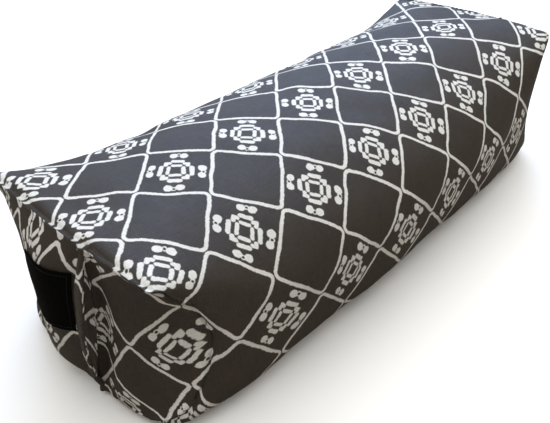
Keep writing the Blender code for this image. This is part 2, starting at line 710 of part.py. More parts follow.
def main():
    for obj in list(bpy.data.objects):
        bpy.data.objects.remove(obj, do_unlink=True)
    printed = material("printed_cotton", (0.075, 0.066, 0.058), 0.85)
    lining = material("inner_cotton", (0.72, 0.68, 0.60), 0.9)
    batting = material("cotton_filling", (0.80, 0.77, 0.70), 0.95)
    woven = material("woven_label", (0.012, 0.012, 0.014), 0.7)
    tape = material("zip_tape", (0.035, 0.032, 0.030), 0.85)
    nylon = material("zip_coil", (0.030, 0.028, 0.027), 0.45)
    metal = material("zip_metal", (0.10, 0.10, 0.10), 0.35, 0.9)

    outer = SoftBox()
    plan = ZipPlan(outer)
    bag_side = outer.width + (plan.back_plate + SLIDER_PLATE + BAG_SLACK) / (1.0 + ZIP_SIDE_BULGE)
    bag_end = bag_side + END_SLACK
    bag_base = COVER_THICKNESS + CLOTH_GAP
    bag_top = bag_base + LAYER_SLACK
    bag = SoftBox(bag_side, bag_end, bag_base, bag_top)
    step = BAG_THICKNESS + CLOTH_GAP
    wide_step = step + LAYER_SLACK
    filling = SoftBox(bag_side + step, bag_end + wide_step, bag_base + step, bag_top + wide_step)

    make_cover(outer, printed)
    make_inner_bag(bag, lining)
    place("cotton_filling", soft_mesh("cotton_filling", filling), batting)
    make_strap("near_end_strap", outer, -1.0, printed)
    make_strap("far_end_strap", outer, 1.0, printed)
    make_label(outer, woven)
    make_tape("zip_tape_upper", plan, 1.0, tape)
    make_tape("zip_tape_lower", plan, -1.0, tape)
    make_coil("zip_coil_upper", plan, 1.0, nylon)
    make_coil("zip_coil_lower", plan, -1.0, nylon)
    make_slider(plan, metal)
    make_pull(plan, metal)
    make_stops(plan, metal)


main()
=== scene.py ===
import math

import bmesh
import bpy
import numpy as np
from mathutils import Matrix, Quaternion, Vector, noise
from mathutils.bvhtree import BVHTree


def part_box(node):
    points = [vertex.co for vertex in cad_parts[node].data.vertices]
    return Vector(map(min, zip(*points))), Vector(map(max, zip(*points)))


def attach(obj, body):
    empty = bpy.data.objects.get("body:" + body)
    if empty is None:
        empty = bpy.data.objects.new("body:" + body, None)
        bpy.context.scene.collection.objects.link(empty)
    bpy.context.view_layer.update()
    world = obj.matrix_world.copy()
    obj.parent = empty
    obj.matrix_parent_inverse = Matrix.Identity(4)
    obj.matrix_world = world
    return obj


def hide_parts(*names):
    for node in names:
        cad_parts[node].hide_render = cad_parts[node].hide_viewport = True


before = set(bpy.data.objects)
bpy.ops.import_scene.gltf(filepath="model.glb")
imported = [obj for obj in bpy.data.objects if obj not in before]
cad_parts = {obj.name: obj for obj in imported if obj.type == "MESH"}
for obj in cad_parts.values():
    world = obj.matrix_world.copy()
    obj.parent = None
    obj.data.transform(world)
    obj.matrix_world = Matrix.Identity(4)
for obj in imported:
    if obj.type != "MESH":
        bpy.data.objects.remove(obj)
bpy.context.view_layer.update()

# Size and form of the stuffed cover, as in the CAD model
LENGTH = 0.592
WIDTH = 0.2225
HEIGHT = 0.152
ACROSS_ROUNDNESS = (2.5, 7.35)
CROWN_ROUNDNESS = (2.0, 9.0)
BASE_ROUNDNESS = (10.9, 3.9)
SEAM_FORM_GROWTH = 9.8
LENGTH_ROUNDNESS = 12.3
BASE_PRESS = 1.043
TOP_SAG = 0.042
SIDE_BULGE = 0.1435
ZIP_SIDE_BULGE = 0.082
ZIP_SIDE_REACH = 0.213
ZIP_SIDE_FLAT = (0.068, 0.104)
END_SEAM_SETBACK = 0.0227
END_CROWN = 0.0217
END_CROWN_ACROSS = 2.8
END_CROWN_UP = 3.7
END_CROWN_FLATNESS = 0.8
END_FULL_X = 0.0257
END_LEFT_SETBACK = 0.0439
END_LEFT_GROWTH = 1.56
END_RIGHT_SETBACK = 0.0478
END_RIGHT_GROWTH = 1.0
END_SIDE_LIMIT = 1.1
END_TOP_SETBACK = 0.0130
END_BASE_SETBACK = 0.0042
END_PULL_GROWTH = 8
END_SEAM_TOP_OFFSET = 0.0433
END_SEAM_BASE_OFFSET = 0.0215
TOP_CORNER = math.radians(45.0)
BASE_CORNER = math.radians(28.0)
SEAM_Y = LENGTH / 2 - END_SEAM_SETBACK
MIDDLE_Z = HEIGHT / 2

# Hollow along the upright end seam: here it runs wider to the left than in the CAD model
END_SEAM_DEPTH = 0.020
END_SEAM_LEFT_REACH = 0.0225
END_SEAM_RIGHT_REACH = 0.020
END_SEAM_TOP_FADE = 0.10

# Fine mesh of the cover
SECTION_SAMPLES = 420
COLUMNS = 40
ROWS = 22
BESIDE_SEAM = ((0.0, 0.005, 0.011, 0.019, 0.030, 0.045), 0.0625)
BESIDE_EDGE = ((0.0, 0.008, 0.018, 0.031, 0.048, 0.071), 0.0923)
STATION_STEP = 0.0060
NEAR_SEAM = (0.0, 0.0011, 0.0024, 0.004, 0.0062, 0.009, 0.0125, 0.017, 0.0225)

# Print: repeats of the lattice along and across the cloth, and where it starts
PITCH_ALONG = 0.0735
PITCH_ACROSS = 0.0757
LATTICE_ALONG = 3.4581
LATTICE_ACROSS = 0.3022
LEFT_FLAP_NODE = (0.0146, 0.1434)
LEFT_FLAP_START = (-19.5, 0.5)
LEFT_FLAP_PITCH = 0.0555
# Where sewing and stuffing pull the print aside: place, pull and reach in repeats
PRINT_PULLS = ((4.0, -0.85, 0.20, -0.18, 1.2), (6.9, 0.3, 0.24, -0.12, 1.1), (5.3, 0.1, 0.12, -0.08, 0.8),
               (3.5, 3.15, 0.13, 0.16, 0.9), (1.6, 2.6, 0.09, 0.09, 0.5), (-0.35, 3.1, -0.22, 0.08, 0.7),
               (0.45, -0.3, 0.0, 0.16, 0.65), (-0.65, 2.55, -0.08, 0.08, 0.5), (-0.19, 2.66, -0.07, 0.09, 0.3))
# Trellis in repeats: the cells' corners, their line, and the rosette's bars as place, half length and radius;
# then how far the print wavers, how rough and how soft its edge is, and the pitch of the threads in metres
CELL_CORNER = 0.085
CELL_LINE = 0.027
ROSETTE_BARS = ((0.0, 0.112, 0.064, 0.029), (0.0, 0.226, 0.078, 0.035), (0.150, 0.168, 0.030, 0.033),
                (0.082, 0.372, 0.006, 0.059))
ROSETTE_CURL = (0.0, 0.392, 0.0, 0.030)
CURL_LINE = 0.009
PRINT_WAVER = 0.065
PRINT_ROUGHNESS = 0.022
PRINT_EDGE = 0.008
COVER_THREAD = 0.00085
LINING_THREAD = 0.0007

# Lumps of the filling: depth, size and how much deeper they are away from the ends
LUMPS = ((0.0016, 0.085, 0.0), (0.0012, 0.042, 0.5), (0.0003, 0.014, 0.0))
LUMPS_FROM_END = (0.02, 0.03)
# The cloth is calm next to the zip: this far across and along it, then over this distance
ZIP_CALM = (0.012, 0.008, 0.020)

# Seams: their groove, the swell beside it and the puckers, and the ears at the top corners
SEAM_GROOVE = 0.0026
SEAM_GROOVE_WIDTH = 0.0027
SEAM_SWELL = 0.0009
SWELL_AWAY = 0.009
SWELL_WIDTH = 0.005
PUCKER = 0.0010
PUCKER_SIZE = 0.010
PUCKER_REACH = 0.013
PUCKER_START = 0.003
FAR_TOP_SEAM_SHARE = 0.15
EAR_WAY = (0.75, 0.75, 0.45)
EAR_LENGTH = 0.0040
EAR_REACH = 0.010

# Straps: their ends are where the CAD model has them
STRAP_TOP = (0.037672, 0.273445, 0.144092)
STRAP_BASE = (0.023626, 0.282216, 0.010142)
STRAP_WIDTH = 0.015
STRAP_THICKNESS = 0.0026
STRAP_BOW = 0.014
STRAP_DRIFT = 0.005
STRAP_BOW_FLATNESS = 0.62
STRAP_SPREAD = 1.8
STRAP_END_RADIUS = 0.0024
STRAP_TWIST = math.radians(18.0)
STRAP_TAIL = 0.005
STRAP_PARTS = 44
STRAP_SIDES = 36
STRAP_SEAM = 0.72
STRAP_PRINT_START = (0.71, -0.099)

# Bag and filling: how far inside the cover's form they are at the side, end, base and top
BAG_INSETS = (0.0053, 0.0098, 0.0016, 0.0032)
FILLING_INSETS = (0.0063, 0.0124, 0.0025, 0.0057)

# Label: its outline on the near end, how far it stands off the cloth, and its stitches' pitch, radius and length
LABEL_RIGHT = 0.0228
LABEL_WIDTH = 0.048
LABEL_HEIGHT = 0.056
LABEL_MID_HEIGHT = 0.0965
LABEL_LEAN = 0.16
LABEL_LIFT = 0.0003
LABEL_THICKNESS = 0.0006
LABEL_COLUMNS = 33
LABEL_ROWS = 37
LABEL_SMOOTHING = 5
LABEL_STITCHES = (0.0024, 0.00022, 0.0017)

# Zip, with its topstitches' pitch, radius and length
ZIP_LENGTH = 0.360
ZIP_Z = 0.050
ZIP_SLOT = 0.011
SLOT_EASE = 0.030
SLOT_EDGE = ((0.0006, -0.0003), (0.0013, 0.0006), (0.0014, 0.0060))
TOPSTITCH_FROM_EDGE = 0.0032
TOPSTITCHES = (0.0036, 0.00032, 0.0026)
TAPE_FRONT = -0.117877
RUNNING_GAP = 0.00035
SLIDER_PLATE = 0.0010
SLIDER_FLANGE = 0.0009
SLIDER_BRIDGE = (0.0011, 0.0024)
SLIDER_SHOULDER = 0.0012
BAIL_LENGTH = 0.0070
BAIL_WIDTH = 0.0018
BAIL_THICKNESS = 0.0010
BAIL_CLEAR = 0.0024
PULL_EYE_WIDTH = 0.0062
PULL_EYE_BAR = 0.0014
PULL_EYE_LENGTH = 0.0058
PULL_EYE_END = 0.0008
PULL_SHOULDER = 0.0022
PULL_GRIP_LENGTH = 0.0060
PULL_GRIP_WIDTH = 0.0035
PULL_GRIP_FROM_END = 0.0022
METAL_EDGE = 0.00022
STOP_EDGE = 0.00035
COIL_PITCH = 0.0016
COIL_WIRE = 0.00038
COIL_PARTS = 12
THIN_SIDES = 6

# Folds and dents of the cover: points on it, depth and width, all in millimetres; their depth tapers off to
# both ends, and a low ridge runs beside them
FOLD_TAPER = (0.07, 0.93)
FOLD_RIDGE = 0.35
FOLDS = (
    (((64.9, -267.0, 75.7), (71.2, -265.5, 73.1), (84.7, -259.6, 74.0), (91.7, -253.5, 67.0),
      (104.3, -243.1, 59.4)), 2.6, 4.5),
    (((72.6, -269.2, 120.1), (87.4, -263.6, 125.4), (102.2, -251.6, 126.9), (107.4, -233.3, 116.1),
      (115.4, -207.5, 93.0)), 1.6, 6.0),
    (((94.3, -249.7, 76.8), (112.7, -224.4, 85.1), (116.5, -199.5, 85.8), (119.9, -161.9, 82.2)), 1.2, 7.0),
    (((50.0, -218.3, 147.7), (38.0, -205.0, 150.0), (20.0, -200.0, 150.0)), 1.6, 12.0),
    (((45.4, -12.3, 145.0), (55.4, 3.5, 142.1), (70.0, 16.0, 137.0)), 1.6, 11.0),
    (((-10.0, -15.5, 148.5), (-22.8, -12.3, 147.5)), -1.2, 13.0),
    (((60.0, 120.0, 145.0), (88.0, 136.0, 130.0)), 1.3, 12.0),
    (((118.0, 20.0, 80.0), (120.0, 55.0, 62.0)), 1.4, 11.0),
    (((-60.0, -150.0, 142.0), (-95.0, -135.0, 120.0)), 1.5, 12.0),
    (((-70.0, 60.0, 140.0), (-100.0, 80.0, 115.0), (-115.0, 90.0, 90.0)), 1.5, 11.0),
)

# Camera, worked out from the photograph together with the form
CAMERA_PLACE = (0.34165, -0.40207, 0.38712)
CAMERA_AZIMUTH = math.radians(43.431)
CAMERA_ELEVATION = math.radians(38.044)
CAMERA_ROLL = math.radians(1.623)
SENSOR = 36.0
FOCAL_PIXELS = 611.32
FRAME_PIXELS = 550.0
AXIS_SHIFT_PIXELS = (17.91, 25.55)

# Stage: the floor, the light of the surround, and the distances over which the floor fades into white
FLOOR_HALF = 6.0
FLOOR_Z = -0.0004
SURROUND = 0.52
FLOOR_FADE = (0.9, 2.2)


def between(pair, share):
    return pair[0] + (pair[1] - pair[0]) * share


def arc_lengths(points, axis=0):
    """Length along each line of points, from 0 at its start."""
    reach = np.cumsum(np.linalg.norm(np.diff(points, axis=axis), axis=-1), axis=axis)
    return np.concatenate((0.0 * reach.take([0], axis), reach), axis=axis)


def on_line(points, reach, wanted):
    """Points of a line at the wanted lengths along it."""
    return np.stack([np.interp(wanted, reach, points[:, k]) for k in range(3)], axis=-1)


class Form:
    """The stuffed form, after the CAD model's rule, as arrays of points."""

    def __init__(self, side=0.0, end=0.0, base=0.0, top=0.0):
        self.width = WIDTH / 2 - side
        self.length = LENGTH / 2 - end
        self.height = HEIGHT / 2 - (base + top) / 2
        self.seam_y = SEAM_Y - end
        self.middle = MIDDLE_Z + (base - top) / 2
        self.slack = 0.0
        self.slack = self.length - self.end_grid(1.0)[..., 1].max()

    def pull_back(self, x, z):
        up = np.minimum(np.abs(z - self.middle) / self.height, 1.0)
        share = (z - self.middle + self.height) / (2 * self.height)
        left = np.clip((END_FULL_X - x) / (END_FULL_X + self.width), 0.0, END_SIDE_LIMIT)
        right = np.clip((x - END_FULL_X) / (self.width - END_FULL_X), 0.0, END_SIDE_LIMIT)
        sideways = END_LEFT_SETBACK * left ** END_LEFT_GROWTH + END_RIGHT_SETBACK * right ** END_RIGHT_GROWTH
        upwards = END_TOP_SETBACK * share + END_BASE_SETBACK * (1 - share) ** 2
        return sideways * (1 - up * up) + upwards + END_CROWN - self.slack

    def surface(self, y, angle):
        fullness = 1.0 - np.minimum(np.abs(y) / self.length, 1.0) ** LENGTH_ROUNDNESS
        nearness = np.abs(y) / SEAM_Y
        own = np.abs(y) / self.seam_y
        growth = nearness ** SEAM_FORM_GROWTH
        cosine, sine = np.cos(angle), np.sin(angle)
        upper = sine >= 0.0
        up = np.where(upper, between(CROWN_ROUNDNESS, growth), between(BASE_ROUNDNESS, own ** SEAM_FORM_GROWTH))
        rise = np.minimum((fullness * sine * sine) ** (1.0 / up) * np.where(upper, 1.0, BASE_PRESS), 1.0)
        inner = np.maximum(1.0 - nearness * nearness, 0.0)
        sag = np.where(upper, TOP_SAG * inner * inner, 0.0)
        z = self.middle + np.sign(sine) * rise * self.height * (1.0 - sag)
        bulge = SIDE_BULGE * (1.0 - rise * rise) * inner
        free = np.clip((z - ZIP_SIDE_FLAT[0]) / (ZIP_SIDE_FLAT[1] - ZIP_SIDE_FLAT[0]), 0.0, 1.0)
        beyond = np.maximum((np.abs(y) - ZIP_SIDE_REACH) / (SEAM_Y - ZIP_SIDE_REACH), 0.0)
        held = ZIP_SIDE_BULGE * (1.0 - beyond * beyond)
        bulge = np.where(cosine < 0.0, between((held, bulge), free * free * (3.0 - 2.0 * free)), bulge)
        side = (fullness * cosine * cosine) ** (1.0 / between(ACROSS_ROUNDNESS, growth)) * (1.0 + bulge)
        x = np.sign(cosine) * side * self.width
        drawn = (self.length - self.pull_back(x, z) - self.seam_y) * own ** END_PULL_GROWTH
        return np.stack((x, np.where(y < 0.0, -1.0, 1.0) * (np.abs(y) + drawn), z), axis=-1)

    def side(self, ys, start, end, shares):
        """Points of each section between two corner angles, at shares of its arc length."""
        fine = self.surface(*np.meshgrid(ys, np.linspace(start, end, SECTION_SAMPLES), indexing="ij"))
        return np.array([on_line(p, r, shares * r[-1]) for p, r in zip(fine, arc_lengths(fine, 1))])

    def sections(self, ys):
        """Closed sections: top from left to right, right side down, base to the left, left side up."""
        top = self.side(ys, math.pi - TOP_CORNER, TOP_CORNER, ACROSS_SHARES)
        right = self.side(ys, TOP_CORNER, -BASE_CORNER, UP_SHARES)
        base = self.side(ys, -BASE_CORNER, BASE_CORNER - math.pi, 1.0 - BASE_SHARES[::-1])
        left = self.side(ys, BASE_CORNER - math.pi, -math.pi - TOP_CORNER, 1.0 - UP_SHARES[::-1])
        return np.concatenate([part[:, :-1] for part in (top, right, base, left)], axis=1)

    def end_grid(self, sign, seam_depth=END_SEAM_DEPTH):
        """Rows of one end panel from the top seam down, each from left to right."""
        loop = self.sections([sign * self.seam_y])[0]
        top, right, base, left = (loop[rim] for rim in (TOP_RIM, RIGHT_RIM, BASE_RIM, LEFT_RIM))
        v = UP_SHARES[:, None, None]
        u = ACROSS_SHARES[None, :, None] * (1 - v) + BASE_SHARES[None, :, None] * v
        sides = left[:, None] * (1 - u) + right[:, None] * u
        faces = top[None] * (1 - v) + base[None] * v
        corners = (top[0] * (1 - u) + top[-1] * u) * (1 - v) + (base[0] * (1 - u) + base[-1] * u) * v
        grid = sides + faces - corners
        x, z = grid[..., 0], grid[..., 2]
        seam_x = x[:, [SEAM_COLUMN]]
        seam_y = np.array(self.seam_y)
        half_width = self.surface(seam_y, np.array(0.0))[0]
        crest = self.surface(seam_y, np.array(math.pi / 2))[2] - self.middle
        s = np.minimum(np.abs(x) / half_width, 1.0)
        t = np.minimum(np.abs(z - self.middle) / crest, 1.0)
        raised = np.clip((z - self.middle) / crest, 0.0, 1.0)
        dome = ((1 - s ** END_CROWN_ACROSS) * (1 - t ** END_CROWN_UP)) ** END_CROWN_FLATNESS
        wide = np.where(x < seam_x, END_SEAM_LEFT_REACH, END_SEAM_RIGHT_REACH)
        valley = seam_depth * np.exp(-((x - seam_x) / wide) ** 2) * (1 - t ** 4)
        valley = valley * (1 - END_SEAM_TOP_FADE * raised * (2 - raised))
        depth = sign * (self.length - self.pull_back(x, z) + END_CROWN * dome - valley)
        grid[1:-1, 1:-1, 1] = depth[1:-1, 1:-1]
        return grid


def shares_near(count, places, steps, clear):
    """Even shares from 0 to 1, and closer ones about some places, where the even ones keep clear."""
    even = [i / count for i in range(count + 1)]
    close = {place + side * step for place in places for step in steps for side in (-1, 1)}
    kept = [e for e in even if all(abs(e - place) > clear for place in places)]
    return np.array(sorted(kept + [c for c in close if 0.0 <= c <= 1.0]))


SEAM_SHARE = 0.5 + END_SEAM_TOP_OFFSET / WIDTH
BASE_SEAM_SHARE = 0.5 + END_SEAM_BASE_OFFSET / WIDTH
ACROSS_SHARES = shares_near(COLUMNS, (SEAM_SHARE,), *BESIDE_SEAM)
BASE_SHARES = np.interp(ACROSS_SHARES, (0.0, SEAM_SHARE, 1.0), (0.0, BASE_SEAM_SHARE, 1.0))
UP_SHARES = shares_near(ROWS, (0.0, 1.0), *BESIDE_EDGE)
SEAM_COLUMN = int(np.argmin(np.abs(ACROSS_SHARES - SEAM_SHARE)))
CENTRE_COLUMN = int(np.argmin(np.abs(ACROSS_SHARES - 0.5)))

# Places in a closed section: its parts, and the four sides of an end panel
TOP_COUNT, SIDE_COUNT = len(ACROSS_SHARES) - 1, len(UP_SHARES) - 1
LEFT_BASE = 2 * TOP_COUNT + SIDE_COUNT
AROUND = LEFT_BASE + SIDE_COUNT
TOP_RIM = np.arange(TOP_COUNT + 1)
RIGHT_RIM = TOP_COUNT + np.arange(SIDE_COUNT + 1)
BASE_RIM = LEFT_BASE - TOP_RIM
LEFT_RIM = (AROUND - np.arange(SIDE_COUNT + 1)) % AROUND


def stations(seam_y):
    """Lengths of the fine sections, close together next to the end seams and at the zip's ends."""
    inner = seam_y - NEAR_SEAM[-1]
    zip_end = ZIP_LENGTH / 2
    first = np.linspace(0.0, zip_end, int(zip_end / STATION_STEP) + 1)
    second = np.linspace(zip_end, inner, int((inner - zip_end) / STATION_STEP) + 2)[1:]
    half = list(first) + list(second) + [seam_y - s for s in NEAR_SEAM[-2::-1]]
    return np.array([-y for y in half[:0:-1]] + half)


def corners_of(j, i):
    return (j, i), (j, i + 1), (j + 1, i + 1), (j + 1, i)


class SoftMesh:
    """Grid of a soft form with its cloth coordinates, ready to be turned into a mesh."""

    def __init__(self, form):
        self.ys = stations(form.seam_y)
        self.tube = form.sections(self.ys)
        self.ends = {sign: form.end_grid(sign) for sign in (-1, 1)}
        self.filled_ends = {sign: form.end_grid(sign, 0.0) for sign in (-1, 1)}

    def cloth(self):
        """Cloth coordinates of the tube's corners, across for the panel and for the left side."""
        along = arc_lengths(self.tube)
        along = LATTICE_ALONG + (along - along[len(self.ys) // 2]) / PITCH_ALONG
        reach = arc_lengths(np.concatenate((self.tube, self.tube[:, :1]), axis=1), 1)
        panel = LATTICE_ACROSS + (reach - reach[:, [CENTRE_COLUMN]]) / PITCH_ACROSS
        return along, panel, panel - reach[:, -1:] / PITCH_ACROSS


def by_height(heights, values, wanted):
    """Values of a rim read off by height, carried on evenly above and below it."""
    order = np.argsort(heights)
    z, b = heights[order], values[order]
    slope = (b[-1] - b[0]) / (z[-1] - z[0])
    return np.interp(wanted, z, b) + slope * (wanted - np.clip(wanted, z[0], z[-1]))


def pulled(pairs):
    """Cloth coordinates with the places where the print is pulled aside."""
    given = np.array(pairs, dtype=float)
    result = given.copy()
    for a, b, da, db, reach in PRINT_PULLS:
        share = np.exp(-((given[:, 0] - a) ** 2 + (given[:, 1] - b) ** 2) / reach ** 2)
        result -= share[:, None] * (da, db)
    return result


def pin_slot(soft):
    """Rows of the left side along the zip's opening, set to its exact heights."""
    left = np.arange(LEFT_BASE, AROUND)
    heights = soft.tube[len(soft.ys) // 2, left, 2]
    rows = []
    for edge in (ZIP_Z - ZIP_SLOT / 2, ZIP_Z + ZIP_SLOT / 2):
        row = int(left[np.argmin(np.abs(heights - edge))])
        rows.append(row)
        for y, section in zip(soft.ys, soft.tube):
            share = np.clip((ZIP_LENGTH / 2 + SLOT_EASE - abs(y)) / SLOT_EASE, 0.0, 1.0)
            aim = on_line(section[left], section[left, 2], edge)
            section[row] += (aim - section[row]) * share
    return rows


def new_mesh(name, points, faces, maps=None):
    """Smooth mesh, with a cloth map of one pair for each corner of its faces."""
    mesh = bpy.data.meshes.new(name)
    mesh.from_pydata([tuple(p) for p in points], [], faces)
    if maps is not None:
        layer = mesh.uv_layers.new(name="cloth")
        layer.uv.foreach_set("vector", np.array(maps, dtype=np.float32).ravel())
    mesh.shade_smooth()
    return mesh


def soft_mesh(name, soft, slot_rows=(), map_scale=1.0):
    """Mesh of a soft form with a cloth map; slot_rows leaves out the faces of the zip's opening."""
    along, panel, left = soft.cloth()
    count = len(soft.tube)
    points = list(soft.tube.reshape(-1, 3))
    faces, maps = [], []
    for s in range(count - 1):
        beside_zip = abs((soft.ys[s] + soft.ys[s + 1]) / 2) < ZIP_LENGTH / 2
        for k in range(AROUND):
            if slot_rows and beside_zip and slot_rows[0] <= k < slot_rows[1]:
                continue
            n = (k + 1) % AROUND
            faces.append((s * AROUND + k, s * AROUND + n, (s + 1) * AROUND + n, (s + 1) * AROUND + k))
            b = left if k >= LEFT_BASE else panel
            maps += [(along[s, k], b[s, k]), (along[s, n], b[s, k + 1]),
                     (along[s + 1, n], b[s + 1, k + 1]), (along[s + 1, k], b[s + 1, k])]
    for k, away in zip(slot_rows, (-1, 1)):
        open_stations = [s for s in range(count) if abs(soft.ys[s]) < ZIP_LENGTH / 2 + 1e-6]
        inner = {}
        for s in open_stations:
            inner[s] = [s * AROUND + k]
            for depth, turn in SLOT_EDGE:
                inner[s].append(len(points))
                points.append(soft.tube[s, k] + (depth, 0.0, away * turn))
        for s, t in zip(open_stations, open_stations[1:]):
            for step in range(len(SLOT_EDGE)):
                faces.append((inner[s][step], inner[s][step + 1], inner[t][step + 1], inner[t][step])[::-away])
                maps += [(along[s, k], left[s, k]), (along[s, k], left[s, k] + 0.02),
                         (along[t, k], left[t, k] + 0.02), (along[t, k], left[t, k])][::-away]
    for sign, s in ((-1, 0), (1, count - 1)):
        grid = soft.ends[sign]
        rows, columns = grid.shape[:2]
        index = np.zeros((rows, columns), dtype=int)
        index[0], index[:, -1], index[-1], index[:, 0] = TOP_RIM, RIGHT_RIM, BASE_RIM, LEFT_RIM
        index += s * AROUND
        inside = grid[1:-1, 1:-1]
        index[1:-1, 1:-1] = len(points) + np.arange(inside[..., 0].size).reshape(inside.shape[:2])
        points += list(inside.reshape(-1, 3))
        reach = arc_lengths(soft.filled_ends[sign], 1)
        right = (along[s, RIGHT_RIM][:, None] + sign * (reach[:, -1:] - reach) / PITCH_ALONG,
                 by_height(soft.tube[s, RIGHT_RIM, 2], panel[s, RIGHT_RIM], grid[..., 2]))
        flap = (LEFT_FLAP_START[0] + (LEFT_FLAP_NODE[0] - grid[..., 0]) / LEFT_FLAP_PITCH,
                LEFT_FLAP_START[1] + (LEFT_FLAP_NODE[1] - grid[..., 2]) / PITCH_ACROSS)
        for j in range(rows - 1):
            for i in range(columns - 1):
                a, b = right if i >= SEAM_COLUMN else flap
                faces.append(tuple(index[c] for c in corners_of(j, i))[::-sign])
                maps += [(a[c], b[c]) for c in corners_of(j, i)][::-sign]
    return new_mesh(name, points, faces, pulled(maps) * map_scale)


def vectors(items, name):
    values = np.empty(len(items) * 3)
    items.foreach_get(name, values)
    return values.reshape(-1, 3)


def put(mesh, values):
    mesh.vertices.foreach_set("co", np.ascontiguousarray(values).ravel())
    mesh.update()


def dense(points, step=0.0015):
    """The same line with points at an even step, and how far along it each is."""
    points = np.asarray(points)
    reach = arc_lengths(points)
    wanted = np.linspace(0.0, reach[-1], max(int(reach[-1] / step), 2))
    return on_line(points, reach, wanted), wanted


def nearest(values, line, block=4000):
    """Distance of each point to a line and the nearest place on it."""
    found = []
    for start in range(0, len(values), block):
        gaps = np.linalg.norm(values[start:start + block, None] - line[None], axis=2)
        found.append((gaps.min(axis=1), gaps.argmin(axis=1)))
    return [np.concatenate(part) for part in zip(*found)]


def lumps(values, size, seed):
    """Smooth noise at each point, from -1 to 1."""
    offset = Vector((seed * 7.31, seed * 3.17, seed * 5.73))
    return np.array([noise.noise(Vector(p) / size + offset) for p in values])


def bell(gap, width):
    return np.exp(-(gap / width) ** 2)


def shape_cover(mesh, soft):
    """Grooves along the seams, puckers next to them, dents of the filling and the ears."""
    values = vectors(mesh.vertices, "co")
    out = vectors(mesh.vertex_normals, "vector")
    fuller = np.clip((SEAM_Y - LUMPS_FROM_END[0] - np.abs(values[:, 1])) / LUMPS_FROM_END[1], 0.0, 1.0)
    push = 0.0
    for seed, (depth, size, gain) in enumerate(LUMPS, 1):
        push = push + depth * (1.0 + gain * fuller) * lumps(values, size, seed)
    for points, depth, width in FOLDS:
        line, reach = dense(np.array(points) / 1000.0)
        gap, where = nearest(values, line)
        depth, width = depth / 1000.0, width / 1000.0
        taper = np.sin(math.pi * between(FOLD_TAPER, reach[where] / reach[-1])) ** 0.5
        push += depth * taper * (FOLD_RIDGE * bell(gap - 2.0 * width, width) - bell(gap, width))
    beside = np.maximum(np.abs(values[:, 2] - ZIP_Z) - ZIP_CALM[0],
                        np.abs(values[:, 1]) - ZIP_LENGTH / 2 - ZIP_CALM[1])
    free = np.clip(beside / ZIP_CALM[2], 0.0, 1.0)
    push *= np.where(values[:, 0] < -0.08, free * free * (3.0 - 2.0 * free), 1.0)
    for number, sign in enumerate((-1, 1)):
        grid = soft.ends[sign]
        for kind, seam in enumerate((grid[0], grid[-1], grid[:, SEAM_COLUMN])):
            line, reach = dense(seam)
            gap, where = nearest(values, line)
            ripple = np.array([noise.noise(Vector((r / PUCKER_SIZE, 4.0 * number + kind, 0.0))) for r in reach])
            share = FAR_TOP_SEAM_SHARE if sign > 0 and kind == 0 else 1.0
            push += share * (SEAM_SWELL * bell(gap - SWELL_AWAY, SWELL_WIDTH)
                             - SEAM_GROOVE * bell(gap, SEAM_GROOVE_WIDTH)
                             + PUCKER * ripple[where] * np.exp(-gap / PUCKER_REACH)
                             * np.minimum(gap / PUCKER_START, 1.0))
    values = values + out * push[:, None]
    for sign in (-1, 1):
        for column in (0, -1):
            ear = soft.ends[sign][0, column]
            gap = np.linalg.norm(values - ear, axis=1)
            way = np.array(EAR_WAY) * (math.copysign(1.0, ear[0]), sign, 1.0)
            values = values + way * (EAR_LENGTH * bell(gap, EAR_REACH))[:, None]
    values[:, 2] = np.maximum(values[:, 2], 0.0)
    put(mesh, values)


def place(name, data):
    """New object of the scene."""
    obj = bpy.data.objects.new(name, data)
    bpy.context.scene.collection.objects.link(obj)
    return obj


def dress(name, mesh, material, body, node=None):
    """Piece of one material that rides on a body and stands for a CAD solid or adds to one."""
    obj = place(name, mesh)
    mesh.materials.append(material)
    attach(obj, body)
    if node:
        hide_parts(node)
    return obj


def adding(operation):
    return lambda value, *others: value.tree.math(operation, value, *others)


class Value:
    """Output of a node; sums, products and the like of it add the nodes they need."""

    __add__ = adding('ADD')
    __sub__ = adding('SUBTRACT')
    __mul__ = adding('MULTIPLY')
    __pow__ = adding('POWER')
    __abs__ = adding('ABSOLUTE')

    def __init__(self, tree, socket):
        self.tree = tree
        self.socket = socket

    def __rsub__(self, other):
        return self.tree.math('SUBTRACT', other, self)


